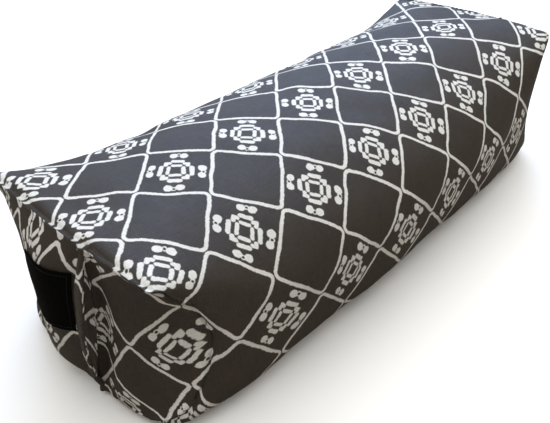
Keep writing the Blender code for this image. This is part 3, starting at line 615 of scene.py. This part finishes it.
class Tree:
    """Short forms for the nodes of one material or group."""

    def __init__(self, tree, material=None):
        self.tree = tree
        self.material = material

    def feed(self, socket, value):
        if isinstance(value, Value):
            self.tree.links.new(value.socket, socket)
        elif isinstance(value, tuple):
            socket.default_value = value + (1.0,) * (len(socket.default_value) - len(value))
        else:
            socket.default_value = value

    def node(self, kind, inputs=(), **settings):
        """New node with its settings and with its inputs, by name or number."""
        made = self.tree.nodes.new(kind)
        for name, value in settings.items():
            setattr(made, name, value)
        for key, value in dict(inputs).items():
            self.feed(made.inputs[key], value)
        return made

    def take(self, output, kind, inputs=(), **settings):
        return Value(self, self.node(kind, inputs, **settings).outputs[output])

    def math(self, operation, *values):
        return self.take(0, 'ShaderNodeMath', enumerate(values), operation=operation)

    def length(self, x, y):
        return self.math('SQRT', x ** 2.0 + y ** 2.0)

    def noise(self, vector, scale, detail=2.0, rough=0.5):
        inputs = {"Vector": vector, "Scale": scale, "Detail": detail, "Roughness": rough}
        return self.take("Fac", 'ShaderNodeTexNoise', inputs)

    def span(self, value, low, high, to_low=0.0, to_high=1.0, smooth=False):
        return self.take(0, 'ShaderNodeMapRange', enumerate((value, low, high, to_low, to_high)),
                         interpolation_type='SMOOTHSTEP' if smooth else 'LINEAR')

    def mix(self, share, first, second):
        return self.take(2, 'ShaderNodeMix', {0: share, 6: first, 7: second}, data_type='RGBA')

    def scaled(self, vector, *factors):
        return self.take(0, 'ShaderNodeVectorMath', {0: vector, 1: factors}, operation='MULTIPLY')

    def split(self, value, kind='ShaderNodeSeparateXYZ'):
        return [Value(self, socket) for socket in self.node(kind, {0: value}).outputs][:2]

    def bump(self, height, strength, distance, **normal):
        return self.take(0, 'ShaderNodeBump', {"Height": height, "Strength": strength, "Distance": distance, **normal})

    def weave(self, cloth, turns):
        """Height of a plain weave, whose threads go over and under each other in turn."""
        x, y = self.split(cloth)
        return self.math('SINE', x * turns) * self.math('SINE', y * turns)

    def surface(self, inputs):
        """Sets sockets of the material's shader."""
        for name, value in inputs.items():
            self.feed(self.tree.nodes["Principled BSDF"].inputs[name], value)
        return self.material


def print_group():
    """Trellis of rounded cells with a rosette in every other one; gives 1 where the cloth is printed."""
    group = bpy.data.node_groups.new("trellis_print", 'ShaderNodeTree')
    group.interface.new_socket("Cloth", in_out='INPUT', socket_type='NodeSocketVector')
    group.interface.new_socket("Printed", in_out='OUTPUT', socket_type='NodeSocketFloat')
    t = Tree(group)
    cloth = t.take(0, 'NodeGroupInput')
    a, b = t.split(cloth)
    wave = t.take("Color", 'ShaderNodeTexNoise', {"Vector": cloth, "Scale": 3.1, "Detail": 1.0},
                  noise_dimensions='2D')
    red, green = t.split(wave, 'ShaderNodeSeparateColor')
    rough = (t.noise(cloth, 34.0, 1.0) - 0.5) * PRINT_ROUGHNESS
    p = a + b + (red - 0.5) * PRINT_WAVER
    q = a - b + (green - 0.5) * PRINT_WAVER
    parity = t.math('FLOORED_MODULO', t.math('FLOOR', p) + t.math('FLOOR', q), 2.0)
    u = abs(t.math('FRACT', p) - 0.5)
    v = abs(t.math('FRACT', q) - 0.5)
    far = t.math('MAXIMUM', u, v)
    near = t.math('MINIMUM', u, v)
    away = far * (1.0 - parity * 2.0) + parity
    x = away - (0.5 - CELL_CORNER)
    y = near - (0.5 - CELL_CORNER)
    outside = t.length(t.math('MAXIMUM', x, 0.0), t.math('MAXIMUM', y, 0.0))
    inside = t.math('MINIMUM', t.math('MAXIMUM', x, y), 0.0)
    line = abs(outside + inside - CELL_CORNER) - CELL_LINE

    def bar(side, up, reach, radius):
        over = t.math('MAXIMUM', abs(near - side) - reach, 0.0)
        return t.length(over, far - up) - radius

    rosette = abs(bar(*ROSETTE_CURL)) - CURL_LINE
    for given in ROSETTE_BARS:
        rosette = t.math('MINIMUM', rosette, bar(*given))
    shape = t.math('MINIMUM', line, rosette + (1.0 - parity)) + rough
    t.node('NodeGroupOutput', {0: t.span(shape, PRINT_EDGE, -PRINT_EDGE, smooth=True)})
    return group


def new_material(name, mapped=True):
    """Tree of a new material, and its cloth map or else the place in the object."""
    material = bpy.data.materials.new(name)
    material.use_nodes = True
    t = Tree(material.node_tree, material)
    return t, t.take(0, 'ShaderNodeUVMap', uv_map="cloth") if mapped else t.take("Object", 'ShaderNodeTexCoord')


def printed_cotton():
    """Plain-woven dark cotton with the off-white print."""
    t, cloth = new_material("printed_cotton_cloth")
    printed = t.take(0, 'ShaderNodeGroup', {0: cloth}, node_tree=print_group())
    warp = t.noise(t.scaled(cloth, 6.0, 150.0, 1.0), 1.0, 3.0, 0.6)
    weft = t.noise(t.scaled(cloth, 150.0, 6.0, 1.0), 1.0, 3.0, 0.6)
    threads = warp + weft
    patch = t.noise(cloth, 2.4, 3.0, 0.55)
    dark = t.mix(t.span(patch, 0.35, 0.65), (0.034, 0.0215, 0.0078), (0.046, 0.030, 0.0112))
    dark = t.mix(t.span(threads, 0.8, 1.2), dark, (0.062, 0.042, 0.017))
    pale = t.mix(t.span(threads, 0.75, 1.2), (0.70, 0.69, 0.655), (0.83, 0.825, 0.80))
    solid = t.span(t.noise(cloth, 60.0, 2.0), 0.25, 0.5, 0.86, 1.0)
    weave = t.weave(cloth, PITCH_ALONG / COVER_THREAD * math.pi)
    slub = t.bump(threads, 0.5, 0.0008)
    return t.surface({"Base Color": t.mix(printed * solid, dark, pale),
                      "Roughness": t.span(threads, 0.7, 1.3, 0.68, 0.54),
                      "Specular IOR Level": 0.68, "Specular Tint": (0.46, 0.66, 1.0),
                      "Sheen Weight": 0.01, "Sheen Roughness": 0.5,
                      "Normal": t.bump(weave, 0.4, 0.0002, Normal=slub)})


def lining_cotton():
    """Undyed plain-woven cotton, its map in metres."""
    t, cloth = new_material("undyed_lining")
    weave = t.weave(cloth, math.pi / LINING_THREAD)
    patch = t.noise(cloth, 45.0, 3.0, 0.6)
    color = t.mix(t.span(patch, 0.3, 0.7), (0.60, 0.56, 0.48), (0.72, 0.68, 0.60))
    return t.surface({"Base Color": t.mix(t.span(weave, -0.9, 0.9, 0.0, 0.35), color, (0.36, 0.336, 0.288)),
                      "Roughness": t.span(patch, 0.3, 0.7, 0.81, 0.9), "Sheen Weight": 0.15,
                      "Normal": t.bump(weave, 0.5, LINING_THREAD * 0.3)})


def twill(name, low, high, rib, roughness, gloss=0.5, sheen=0.2):
    """Narrow woven goods with slanting ribs, its map in metres."""
    t, cloth = new_material(name)
    turns = 2.0 * math.pi / rib
    x, y = t.split(cloth)
    slant = t.math('SINE', (x + t.math('PINGPONG', y, rib * 3.0)) * turns)
    height = slant + t.math('SINE', y * (turns * 1.4)) * 0.4
    patch = t.noise(cloth, 160.0, 3.0, 0.6)
    color = t.mix(t.span(height, -1.2, 1.2), low, high)
    return t.surface({"Base Color": t.mix(t.span(patch, 0.4, 0.75, 0.0, 0.35), color, high),
                      "Roughness": t.span(patch, 0.3, 0.7, roughness * 0.85, roughness), "Sheen Weight": sheen,
                      "Specular IOR Level": gloss, "Normal": t.bump(height, 0.5, rib * 0.25)})


def batting():
    """Loose cotton batting: soft pale fibres."""
    t, where = new_material("cotton_batting_fibres", mapped=False)
    fibres = t.noise(t.scaled(where, 420.0, 60.0, 420.0), 1.0, 5.0, 0.7)
    tufts = t.bump(t.noise(where, 55.0, 4.0, 0.6), 0.8, 0.004)
    return t.surface({"Base Color": t.mix(t.span(fibres, 0.3, 0.7), (0.74, 0.70, 0.62), (0.88, 0.86, 0.80)),
                      "Roughness": 0.95, "Sheen Weight": 0.35, "Normal": t.bump(fibres, 0.6, 0.0008, Normal=tufts)})


def enamel():
    """Black enamelled zinc, worn to the metal on its edges."""
    t, where = new_material("zip_metal_enamel", mapped=False)
    scuff = t.noise(where, 900.0, 4.0, 0.65)
    worn = t.span(t.take("Pointiness", 'ShaderNodeNewGeometry') + scuff * 0.12, 0.60, 0.66)
    return t.surface({"Base Color": t.mix(worn, (0.016, 0.016, 0.017), (0.36, 0.35, 0.33)),
                      "Metallic": t.span(worn, 0.0, 1.0, 0.0, 0.9), "Roughness": t.span(scuff, 0.3, 0.7, 0.28, 0.42),
                      "Normal": t.bump(scuff, 0.15, 0.00004)})


def coil_nylon():
    """Dark nylon of the zip's coil."""
    t, where = new_material("zip_coil_nylon", mapped=False)
    grain = t.noise(where, 1400.0)
    return t.surface({"Base Color": t.mix(grain, (0.016, 0.015, 0.014), (0.034, 0.031, 0.029)),
                      "Roughness": t.span(grain, 0.3, 0.7, 0.32, 0.46), "Normal": t.bump(grain, 0.1, 0.00003)})


def sewing_thread(name, color):
    """Sewing thread with its twist."""
    t, where = new_material(name, mapped=False)
    twist = t.noise(t.scaled(where, 3000.0, 900.0, 3000.0), 1.0, 1.0)
    return t.surface({"Base Color": t.mix(twist, color, tuple(c * 1.7 for c in color)),
                      "Roughness": t.span(twist, 0.3, 0.7, 0.55, 0.8), "Normal": t.bump(twist, 0.4, 0.0001)})


def circle(count):
    angles = [2.0 * math.pi * k / count for k in range(count)]
    return [(math.cos(angle), math.sin(angle)) for angle in angles]


def direction_at(line, i):
    return (line[min(i + 1, len(line) - 1)] - line[max(i - 1, 0)]).normalized()


def along_line(points, pitch):
    """Places and directions at an even pitch along a line of points."""
    lengths = [0.0]
    for a, b in zip(points, points[1:]):
        lengths.append(lengths[-1] + (b - a).length)
    count = int(lengths[-1] / pitch)
    places = []
    at = 0
    for i in range(count):
        wanted = (i + 0.5) * lengths[-1] / count
        while lengths[at + 1] < wanted:
            at += 1
        share = (wanted - lengths[at]) / (lengths[at + 1] - lengths[at])
        places.append((points[at].lerp(points[at + 1], share), (points[at + 1] - points[at]).normalized()))
    return places


def sew(name, lines, out, size, thread, body):
    """Short rounded threads along lines; size is their pitch, radius and length, out the way they stand up."""
    pitch, radius, length = size
    rings = ((-1.0, 0.35, -0.9), (-0.72, 0.85, 0.0), (0.0, 1.0, 0.45), (0.72, 0.85, 0.0), (1.0, 0.35, -0.9))
    sides = THIN_SIDES
    points, faces = [], []
    for middle, direction in [found for line in lines for found in along_line(line, pitch)]:
        side = direction.cross(out).normalized()
        start = len(points)
        for share, wide, rise in rings:
            for cosine, sine in circle(sides):
                points.append(middle + direction * (share * length / 2) + side * (cosine * wide * radius)
                              + out * (sine * wide * radius + rise * radius * 0.8))
        for a in range(start, start + (len(rings) - 1) * sides, sides):
            for k in range(sides):
                n = (k + 1) % sides
                faces.append((a + k, a + n, a + sides + n, a + sides + k))
        faces.append(tuple(range(start, start + sides))[::-1])
        faces.append(tuple(range(start + (len(rings) - 1) * sides, start + len(rings) * sides)))
    dress(name, new_mesh(name, points, faces), thread, body)


def grid_mesh(name, rows, size, start=(0.0, 0.0), closed=False):
    """Mesh of a grid of points whose map runs from start over size; closed joins the last column to the first."""
    height, width = len(rows), len(rows[0])
    columns = width if closed else width - 1
    faces, maps = [], []
    for j in range(height - 1):
        for i in range(columns):
            faces.append(tuple(r * width + c % width for r, c in corners_of(j, i)))
            maps += [(start[0] + size[0] * r / (height - 1), start[1] + size[1] * c / columns)
                     for r, c in corners_of(j, i)]
    return new_mesh(name, [p for row in rows for p in row], faces, maps)


def thicken(mesh, thickness):
    """Second layer under a sheet and the rim between the two."""
    bm = bmesh.new()
    bm.from_mesh(mesh)
    bmesh.ops.solidify(bm, geom=bm.faces[:], thickness=thickness)
    bm.to_mesh(mesh)
    bm.free()
    mesh.shade_smooth()


def strap_line(sign):
    """Middle line of a strap, with the tails that go into the seams, and each place's share of its length."""
    start = Vector((STRAP_TOP[0], sign * STRAP_TOP[1], STRAP_TOP[2]))
    end = Vector((STRAP_BASE[0], sign * STRAP_BASE[1], STRAP_BASE[2]))
    chord = (end - start).normalized()
    out = Vector((0.0, sign, 0.0))
    out = (out - chord * out.dot(chord)).normalized()
    shares = [i / STRAP_PARTS for i in range(STRAP_PARTS + 1)]
    rises = [math.sin(math.pi * t) ** STRAP_BOW_FLATNESS for t in shares]
    line = [start.lerp(end, t) + out * STRAP_BOW * rise + Vector((STRAP_DRIFT * rise, 0.0, 0.0))
            for t, rise in zip(shares, rises)]
    tail = Vector((0.0, -sign * STRAP_TAIL, 0.0))
    line = [line[0] + tail + Vector((0.0, 0.0, 0.001))] + line + [line[-1] + tail * 0.6 + Vector((0.0, 0.0, 0.002))]
    return line, [0.0] + shares + [1.0]


def make_strap(name, node, sign, body, cloth, thread):
    """Band folded from the printed cloth and stitched along both edges, its ends drawn into the seams."""
    line, shares = strap_line(sign)
    rows = []
    edges = ([], [])
    for i, (point, t) in enumerate(zip(line, shares)):
        along = direction_at(line, i)
        middle = math.sin(math.pi * t)
        flat = min(middle * middle * STRAP_SPREAD, 1.0)
        half_width = between((STRAP_END_RADIUS, STRAP_WIDTH / 2), flat)
        half_thickness = between((STRAP_END_RADIUS, STRAP_THICKNESS / 2), flat)
        twist = STRAP_TWIST * middle
        side = Vector((math.cos(twist), math.sin(twist) * sign, 0.0))
        side = (side - along * side.dot(along)).normalized()
        normal = along.cross(side).normalized()
        if normal.y * sign < 0:
            normal = -normal
        ripple = 0.0003 * flat * math.sin(i * 1.9) + 0.0002 * math.sin(i * 0.7)
        power = 2.0 / (2.0 + 3.0 * flat)
        row = []
        for cosine, sine in circle(STRAP_SIDES):
            across = math.copysign(abs(cosine) ** power, cosine)
            through = math.copysign(abs(sine) ** power, sine)
            seamed = 0.16 * flat * math.exp(-((abs(across) - STRAP_SEAM) / 0.10) ** 2)
            open_edge = 0.10 * flat * math.exp(-(through / 0.30) ** 2) if across < -0.9 else 0.0
            row.append(point + side * (across * (1.0 - open_edge) * half_width)
                       + normal * (through * (1.0 - seamed) * half_thickness + ripple))
        rows.append(row)
        if flat > 0.6:
            for edge, share in zip(edges, (-STRAP_SEAM, STRAP_SEAM)):
                edge.append(point + side * (share * half_width) + normal * (half_thickness * 0.84 + ripple))
    length = sum((b - a).length for a, b in zip(line, line[1:]))
    size = (length / PITCH_ALONG, 2 * STRAP_WIDTH / PITCH_ACROSS)
    band = grid_mesh(name, rows, size, STRAP_PRINT_START, closed=True)
    dress(name, band, cloth, body, node)
    sew(name + "_stitching", edges, Vector((0.0, sign, 0.0)), TOPSTITCHES, thread, body)


def make_label(tree, satin, thread):
    """Bare woven label on the left half of the near end, sewn down along its four edges."""
    out = Vector((0.0, -1.0, 0.0))
    zs = LABEL_MID_HEIGHT + LABEL_HEIGHT * np.linspace(0.5, -0.5, LABEL_ROWS)
    grid = []
    for z in zs:
        right = LABEL_RIGHT + LABEL_LEAN * (z - LABEL_MID_HEIGHT)
        starts = [Vector((x, -LENGTH, z)) for x in np.linspace(right - LABEL_WIDTH, right, LABEL_COLUMNS)]
        grid.append([tree.ray_cast(start, -out)[0] for start in starts])
    depth = np.array([[point.y for point in row] for row in grid])
    smooth = depth.copy()
    for _ in range(LABEL_SMOOTHING):
        wide = np.pad(smooth, 1, mode='edge')
        smooth = (wide[1:-1, :-2] + wide[1:-1, 2:] + wide[:-2, 1:-1] + wide[2:, 1:-1]) / 4
        smooth = np.minimum(smooth, depth - 0.0001)
    for row, ys in zip(grid, smooth):
        for point, y in zip(row, ys):
            point.y = y - LABEL_LIFT - LABEL_THICKNESS
    name = "woven_label_bare"
    mesh = grid_mesh(name, [row[::-1] for row in grid], (LABEL_HEIGHT, LABEL_WIDTH))
    thicken(mesh, LABEL_THICKNESS * 0.6)
    label = dress(name, mesh, satin, "bolster", "woven_label")
    inner = [row[2:-2] for row in grid[2:-2]]
    loop = inner[0] + [row[-1] for row in inner] + inner[-1][::-1] + [row[0] for row in inner[::-1]]
    loop = [p + out * 0.0002 for p in loop]
    sew("label_stitching", [loop], out, LABEL_STITCHES, thread, "bolster")


def node_box(node):
    """A CAD solid's lowest and highest corner, its middle and half of its size."""
    low, high = np.array(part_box(node))
    return low, high, (low + high) / 2, (high - low) / 2


def make_tape(name, node, weave):
    """One woven zip tape where its CAD solid lies, with a thicker edge along the coil."""
    low, high, _, half = node_box(node)
    rows = []
    for y in np.linspace(low[1], high[1], 121):
        row = []
        for share in np.linspace(0.0, 1.0, 15):
            beside = share if low[2] > ZIP_Z else 1.0 - share
            bead = 0.0002 * math.exp(-(beside / 0.10) ** 2)
            wave = 0.00006 * math.sin(y * 900.0 + share * 6.0)
            row.append((low[0] + 0.0001 - bead + wave, y, between((low[2], high[2]), share)))
        rows.append(row)
    mesh = grid_mesh(name, rows, 2 * half[1:])
    thicken(mesh, -1.6 * half[0])
    dress(name, mesh, weave, "bolster", node)


def make_coil(name, node, nylon):
    """One row of the zip's coil: a flattened spiral of nylon wire along the tape's edge."""
    _, _, middle, half = node_box(node)
    half = half - COIL_WIRE
    count = int(2 * half[1] / COIL_PITCH) * COIL_PARTS
    lead = 0.0 if middle[2] > ZIP_Z else math.pi
    path = []
    for i in range(count + 1):
        angle = 2.0 * math.pi * i / COIL_PARTS + lead
        way = (-math.sin(angle), 2.0 * i / count - 1.0, math.cos(angle))
        path.append(Vector(middle + half * way))
    rows = []
    for i, point in enumerate(path):
        along = direction_at(path, i)
        side = along.cross(Vector((0.0, 1.0, 0.0))).normalized()
        up = side.cross(along)
        rows.append([point + (side * cosine + up * sine) * COIL_WIRE for cosine, sine in circle(THIN_SIDES)])
    dress(name, grid_mesh(name, rows, (1.0, 0.003), closed=True), nylon, "bolster", node)


def metal_piece(name, node, body, metal, boxes, plates=(), edge=METAL_EDGE):
    """Die-cast metal of rounded blocks, and plates with an outline, that stands for one CAD node."""
    bm = bmesh.new()
    for low, high in boxes:
        for vert in bmesh.ops.create_cube(bm, size=1.0)["verts"]:
            vert.co = [between((low[k], high[k]), vert.co[k] + 0.5) for k in range(3)]
    for x0, x1, outline in plates:
        front, back = [[bm.verts.new((x, y, z)) for y, z in outline] for x in (x0, x1)]
        for k in range(len(outline)):
            n = (k + 1) % len(outline)
            bm.faces.new((front[k], front[n], back[n], back[k]))
        bm.faces.new(front[::-1])
        bm.faces.new(back)
    bmesh.ops.recalc_face_normals(bm, faces=bm.faces[:])
    bmesh.ops.bevel(bm, geom=bm.edges[:], offset=edge, segments=3, profile=0.5, affect='EDGES', clamp_overlap=True)
    mesh = bpy.data.meshes.new(name)
    bm.to_mesh(mesh)
    bm.free()
    mesh.shade_smooth()
    dress(name, mesh, metal, body, node)


def rounded_loop(corners, radius, steps=5):
    """Outline of points with its corners rounded."""
    points = []
    for i, corner in enumerate(corners):
        before, corner, after = Vector(corners[i - 1]), Vector(corner), Vector(corners[(i + 1) % len(corners)])
        reach = min(radius, (before - corner).length * 0.45, (after - corner).length * 0.45)
        first = corner + (before - corner).normalized() * reach
        last = corner + (after - corner).normalized() * reach
        for t in np.linspace(0.0, 1.0, steps + 1):
            points.append(first * (1 - t) ** 2 + corner * (2 * t * (1 - t)) + last * t ** 2)
    return points


def make_pull(metal):
    """Pull tab with its eye and a grip hole, die-cast with rounded edges."""
    low, high, middle, half = node_box("zip_pull")
    start, end = low[1], high[1]
    wide, eye, bend = half[2], PULL_EYE_WIDTH / 2, PULL_SHOULDER
    eye_end = start + PULL_EYE_BAR + PULL_EYE_LENGTH
    lower = [(start, -eye), (eye_end, -eye), (eye_end + bend, -wide), (end - bend, -wide), (end, bend - wide)]

    def hole(y0, y1, side):
        return [(y0, -side), (y0, side), (y1, side), (y1, -side)]

    grip = end - PULL_GRIP_FROM_END
    loops = ((lower + [(y, -side) for y, side in lower[::-1]], 0.0012),
             (hole(start + PULL_EYE_BAR, eye_end - PULL_EYE_END, eye - PULL_EYE_BAR), 0.0007),
             (hole(grip - PULL_GRIP_LENGTH, grip, PULL_GRIP_WIDTH / 2), 0.0014))
    curve = bpy.data.curves.new("pull_outline", 'CURVE')
    curve.dimensions = '2D'
    curve.fill_mode = 'BOTH'
    curve.bevel_depth = METAL_EDGE
    curve.bevel_resolution = 3
    curve.offset = -METAL_EDGE
    curve.extrude = half[0] - METAL_EDGE
    for corners, radius in loops:
        loop = rounded_loop(corners, radius)
        spline = curve.splines.new('POLY')
        spline.points.add(len(loop) - 1)
        for point, (y, z) in zip(spline.points, loop):
            point.co = (y, z, 0.0, 1.0)
        spline.use_cyclic_u = True
    source = place("pull_outline", curve)
    bpy.context.view_layer.update()
    mesh = bpy.data.meshes.new_from_object(source)
    bpy.data.objects.remove(source)
    for vert in mesh.vertices:
        y, across, through = vert.co
        vert.co = (middle[0] - through, y, middle[2] + across)
    mesh.flip_normals()
    mesh.name = "pull_tab"
    mesh.shade_smooth()
    mesh.materials.clear()
    dress("pull_tab", mesh, metal, "pull", "zip_pull")


def make_zip_metal(metal):
    """Slider with its bail, the pull and the stops, after the places of their CAD solids."""
    (x, y0, z0), (back, y1, z1), (_, middle, z), (_, _, half) = node_box("zip_slider")
    bail_top = x + BAIL_THICKNESS
    front = bail_top + BAIL_CLEAR
    within = front + SLIDER_PLATE / 2
    nose = half - SLIDER_SHOULDER
    outline = [(y0, z0), (middle, z0), (y1, z - nose), (y1, z + nose), (middle, z1), (y0, z1)]
    plates = [(front, front + SLIDER_PLATE, outline), (back - SLIDER_PLATE, back, outline)]
    flange_back = TAPE_FRONT - RUNNING_GAP
    bridge, bail = SLIDER_BRIDGE[0] / 2, BAIL_WIDTH / 2
    near, far = middle - BAIL_LENGTH / 2, middle + BAIL_LENGTH / 2
    post = x + BAIL_THICKNESS / 2
    boxes = [((within, y0, z0), (flange_back, middle, z0 + SLIDER_FLANGE)),
             ((within, y0, z1 - SLIDER_FLANGE), (flange_back, middle, z1)),
             ((within, y0, z - bridge), (back - SLIDER_PLATE / 2, y0 + SLIDER_BRIDGE[1], z + bridge)),
             ((x, near, z - bail), (bail_top, far, z + bail)),
             ((post, near, z - bail), (within, near + BAIL_THICKNESS, z + bail)),
             ((post, far - BAIL_THICKNESS, z - bail), (within, far, z + bail))]
    metal_piece("slider_body", "zip_slider", "slider", metal, boxes, plates)
    make_pull(metal)
    for node in ("zip_stop_upper", "zip_stop_lower", "zip_open_end_stop"):
        metal_piece(node + "_crimped", node, "bolster", metal, [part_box(node)], edge=STOP_EDGE)


def make_zip(tree, thread):
    """The zip's tapes, coils and metal, and the rows of stitches that sew it behind the cover."""
    weave = twill("zip_tape_herringbone", (0.018, 0.016, 0.015), (0.042, 0.038, 0.035), 0.0006, 0.8)
    nylon = coil_nylon()
    for side in ("upper", "lower"):
        make_tape(side + "_tape_weave", "zip_tape_" + side, weave)
    for side in ("upper", "lower"):
        make_coil(side + "_coil_spiral", "zip_coil_" + side, nylon)
    make_zip_metal(enamel())
    reach = ZIP_LENGTH / 2 + TOPSTITCH_FROM_EDGE
    edge = ZIP_SLOT / 2 + TOPSTITCH_FROM_EDGE
    corners = [(-reach, ZIP_Z - edge), (reach, ZIP_Z - edge), (reach, ZIP_Z + edge), (-reach, ZIP_Z + edge)]
    inwards = Vector((1.0, 0.0, 0.0))
    lines = []
    for a, b in zip(corners, corners[1:] + corners[:1]):
        count = max(int(math.dist(a, b) / 0.004), 2)
        starts = [Vector((-WIDTH, y, z)) for y, z in np.linspace(a, b, count + 1)]
        lines.append([tree.ray_cast(start, inwards)[0] for start in starts])
    sew("zip_topstitching", lines, -inwards, TOPSTITCHES, thread, "bolster")


def make_inner(name, node, insets, material, seed, rough, size):
    """Stuffed form inside the cover, a little lumpy, its map in metres."""
    mesh = soft_mesh(name, SoftMesh(Form(*insets)), map_scale=PITCH_ALONG)
    values = vectors(mesh.vertices, "co")
    sunk = rough * (0.5 + 0.5 * lumps(values, size, seed))
    put(mesh, values - vectors(mesh.vertex_normals, "vector") * sunk[:, None])
    dress(name, mesh, material, "bolster", node)


def turn_to(obj, direction, roll=0.0):
    obj.rotation_mode = 'QUATERNION'
    obj.rotation_quaternion = direction.to_track_quat('-Z', 'Y') @ Quaternion((0, 0, 1), -roll)


def make_camera():
    data = bpy.data.cameras.new("photo_camera")
    data.sensor_width = SENSOR
    data.lens = SENSOR * FOCAL_PIXELS / FRAME_PIXELS
    data.shift_x = -AXIS_SHIFT_PIXELS[0] / FRAME_PIXELS
    data.shift_y = AXIS_SHIFT_PIXELS[1] / FRAME_PIXELS
    data.clip_start = 0.01
    camera = place("photo_camera", data)
    camera.location = CAMERA_PLACE
    level = math.cos(CAMERA_ELEVATION)
    turn_to(camera, Vector((-math.sin(CAMERA_AZIMUTH) * level, math.cos(CAMERA_AZIMUTH) * level,
                            -math.sin(CAMERA_ELEVATION))), CAMERA_ROLL)
    bpy.context.scene.camera = camera


def make_lamp(name, where, aim, size, power, color):
    data = bpy.data.lights.new(name, 'AREA')
    data.shape = 'RECTANGLE'
    data.size, data.size_y = size
    data.energy = power
    data.color = color
    lamp = place(name, data)
    lamp.location = where
    turn_to(lamp, Vector(aim) - Vector(where))


def make_stage():
    """Pale floor that fades into white, a pale surround, a bright ceiling and a weaker, bluer window."""
    a = FLOOR_HALF
    mesh = new_mesh("floor", [(-a, -a, 0.0), (a, -a, 0.0), (a, a, 0.0), (-a, a, 0.0)], [(0, 1, 2, 3)])
    floor = place("floor", mesh)
    floor.location.z = FLOOR_Z
    t, where = new_material("pale_floor", mapped=False)
    seen = t.take("Is Camera Ray", 'ShaderNodeLightPath')
    t.surface({"Base Color": t.mix(seen, (0.30, 0.26, 0.21), (0.97, 0.97, 0.97)),
               "Roughness": 0.9, "Specular IOR Level": 0.1})
    reach = t.take("Value", 'ShaderNodeVectorMath', {0: where}, operation='LENGTH')
    plain = Value(t, t.tree.nodes["Principled BSDF"].outputs[0])
    fade = seen * t.span(reach, *FLOOR_FADE, smooth=True)
    faded = t.take(0, 'ShaderNodeMixShader', {0: fade, 1: plain, 2: t.take(0, 'ShaderNodeEmission')})
    t.feed(t.tree.nodes["Material Output"].inputs["Surface"], faded)
    mesh.materials.append(t.material)
    world = bpy.data.worlds.new("surround")
    world.use_nodes = True
    sky = Tree(world.node_tree)
    shade = sky.mix(sky.take("Is Glossy Ray", 'ShaderNodeLightPath'), (1.0, 0.95, 0.87), (0.12, 0.12, 0.12))
    shade = sky.mix(sky.take("Is Camera Ray", 'ShaderNodeLightPath'), shade, (1.0 / SURROUND,) * 3)
    background = world.node_tree.nodes["Background"]
    sky.feed(background.inputs["Color"], shade)
    background.inputs["Strength"].default_value = SURROUND
    bpy.context.scene.world = world
    make_lamp("ceiling", (-0.2, 0.3, 2.4), (0, 0, 0), (4.0, 4.0), 77.5, (0.98, 0.985, 0.975))
    make_lamp("window", (-2.0, 1.9, 1.9), (0, 0, 0.1), (2.4, 1.8), 72.0, (0.50, 0.68, 1.0))
    bpy.context.scene.view_settings.view_transform = 'Standard'


def main():
    make_camera()
    make_stage()
    cloth = printed_cotton()
    dark_thread = sewing_thread("dark_sewing_thread", (0.030, 0.026, 0.022))
    soft = SoftMesh(Form())
    mesh = soft_mesh("cover_cloth", soft, pin_slot(soft))
    shape_cover(mesh, soft)
    cover = dress("cover_cloth", mesh, cloth, "bolster", "cover")
    tree = BVHTree.FromPolygons([v.co[:] for v in mesh.vertices], [p.vertices[:] for p in mesh.polygons])
    make_strap("near_strap_band", "near_end_strap", -1.0, "near_strap", cloth, dark_thread)
    make_strap("far_strap_band", "far_end_strap", 1.0, "far_strap", cloth, dark_thread)
    satin = twill("black_label_satin", (0.0010, 0.0010, 0.0011), (0.0035, 0.0035, 0.0038), 0.0005, 0.85,
                  gloss=0.04, sheen=0.0)
    make_label(tree, satin, sewing_thread("black_thread", (0.006, 0.006, 0.006)))
    make_zip(tree, dark_thread)
    make_inner("bag_cloth", "inner_bag", BAG_INSETS, lining_cotton(), 5, 0.0005, 0.030)
    make_inner("batting", "cotton_filling", FILLING_INSETS, batting(), 6, 0.0015, 0.018)


main()
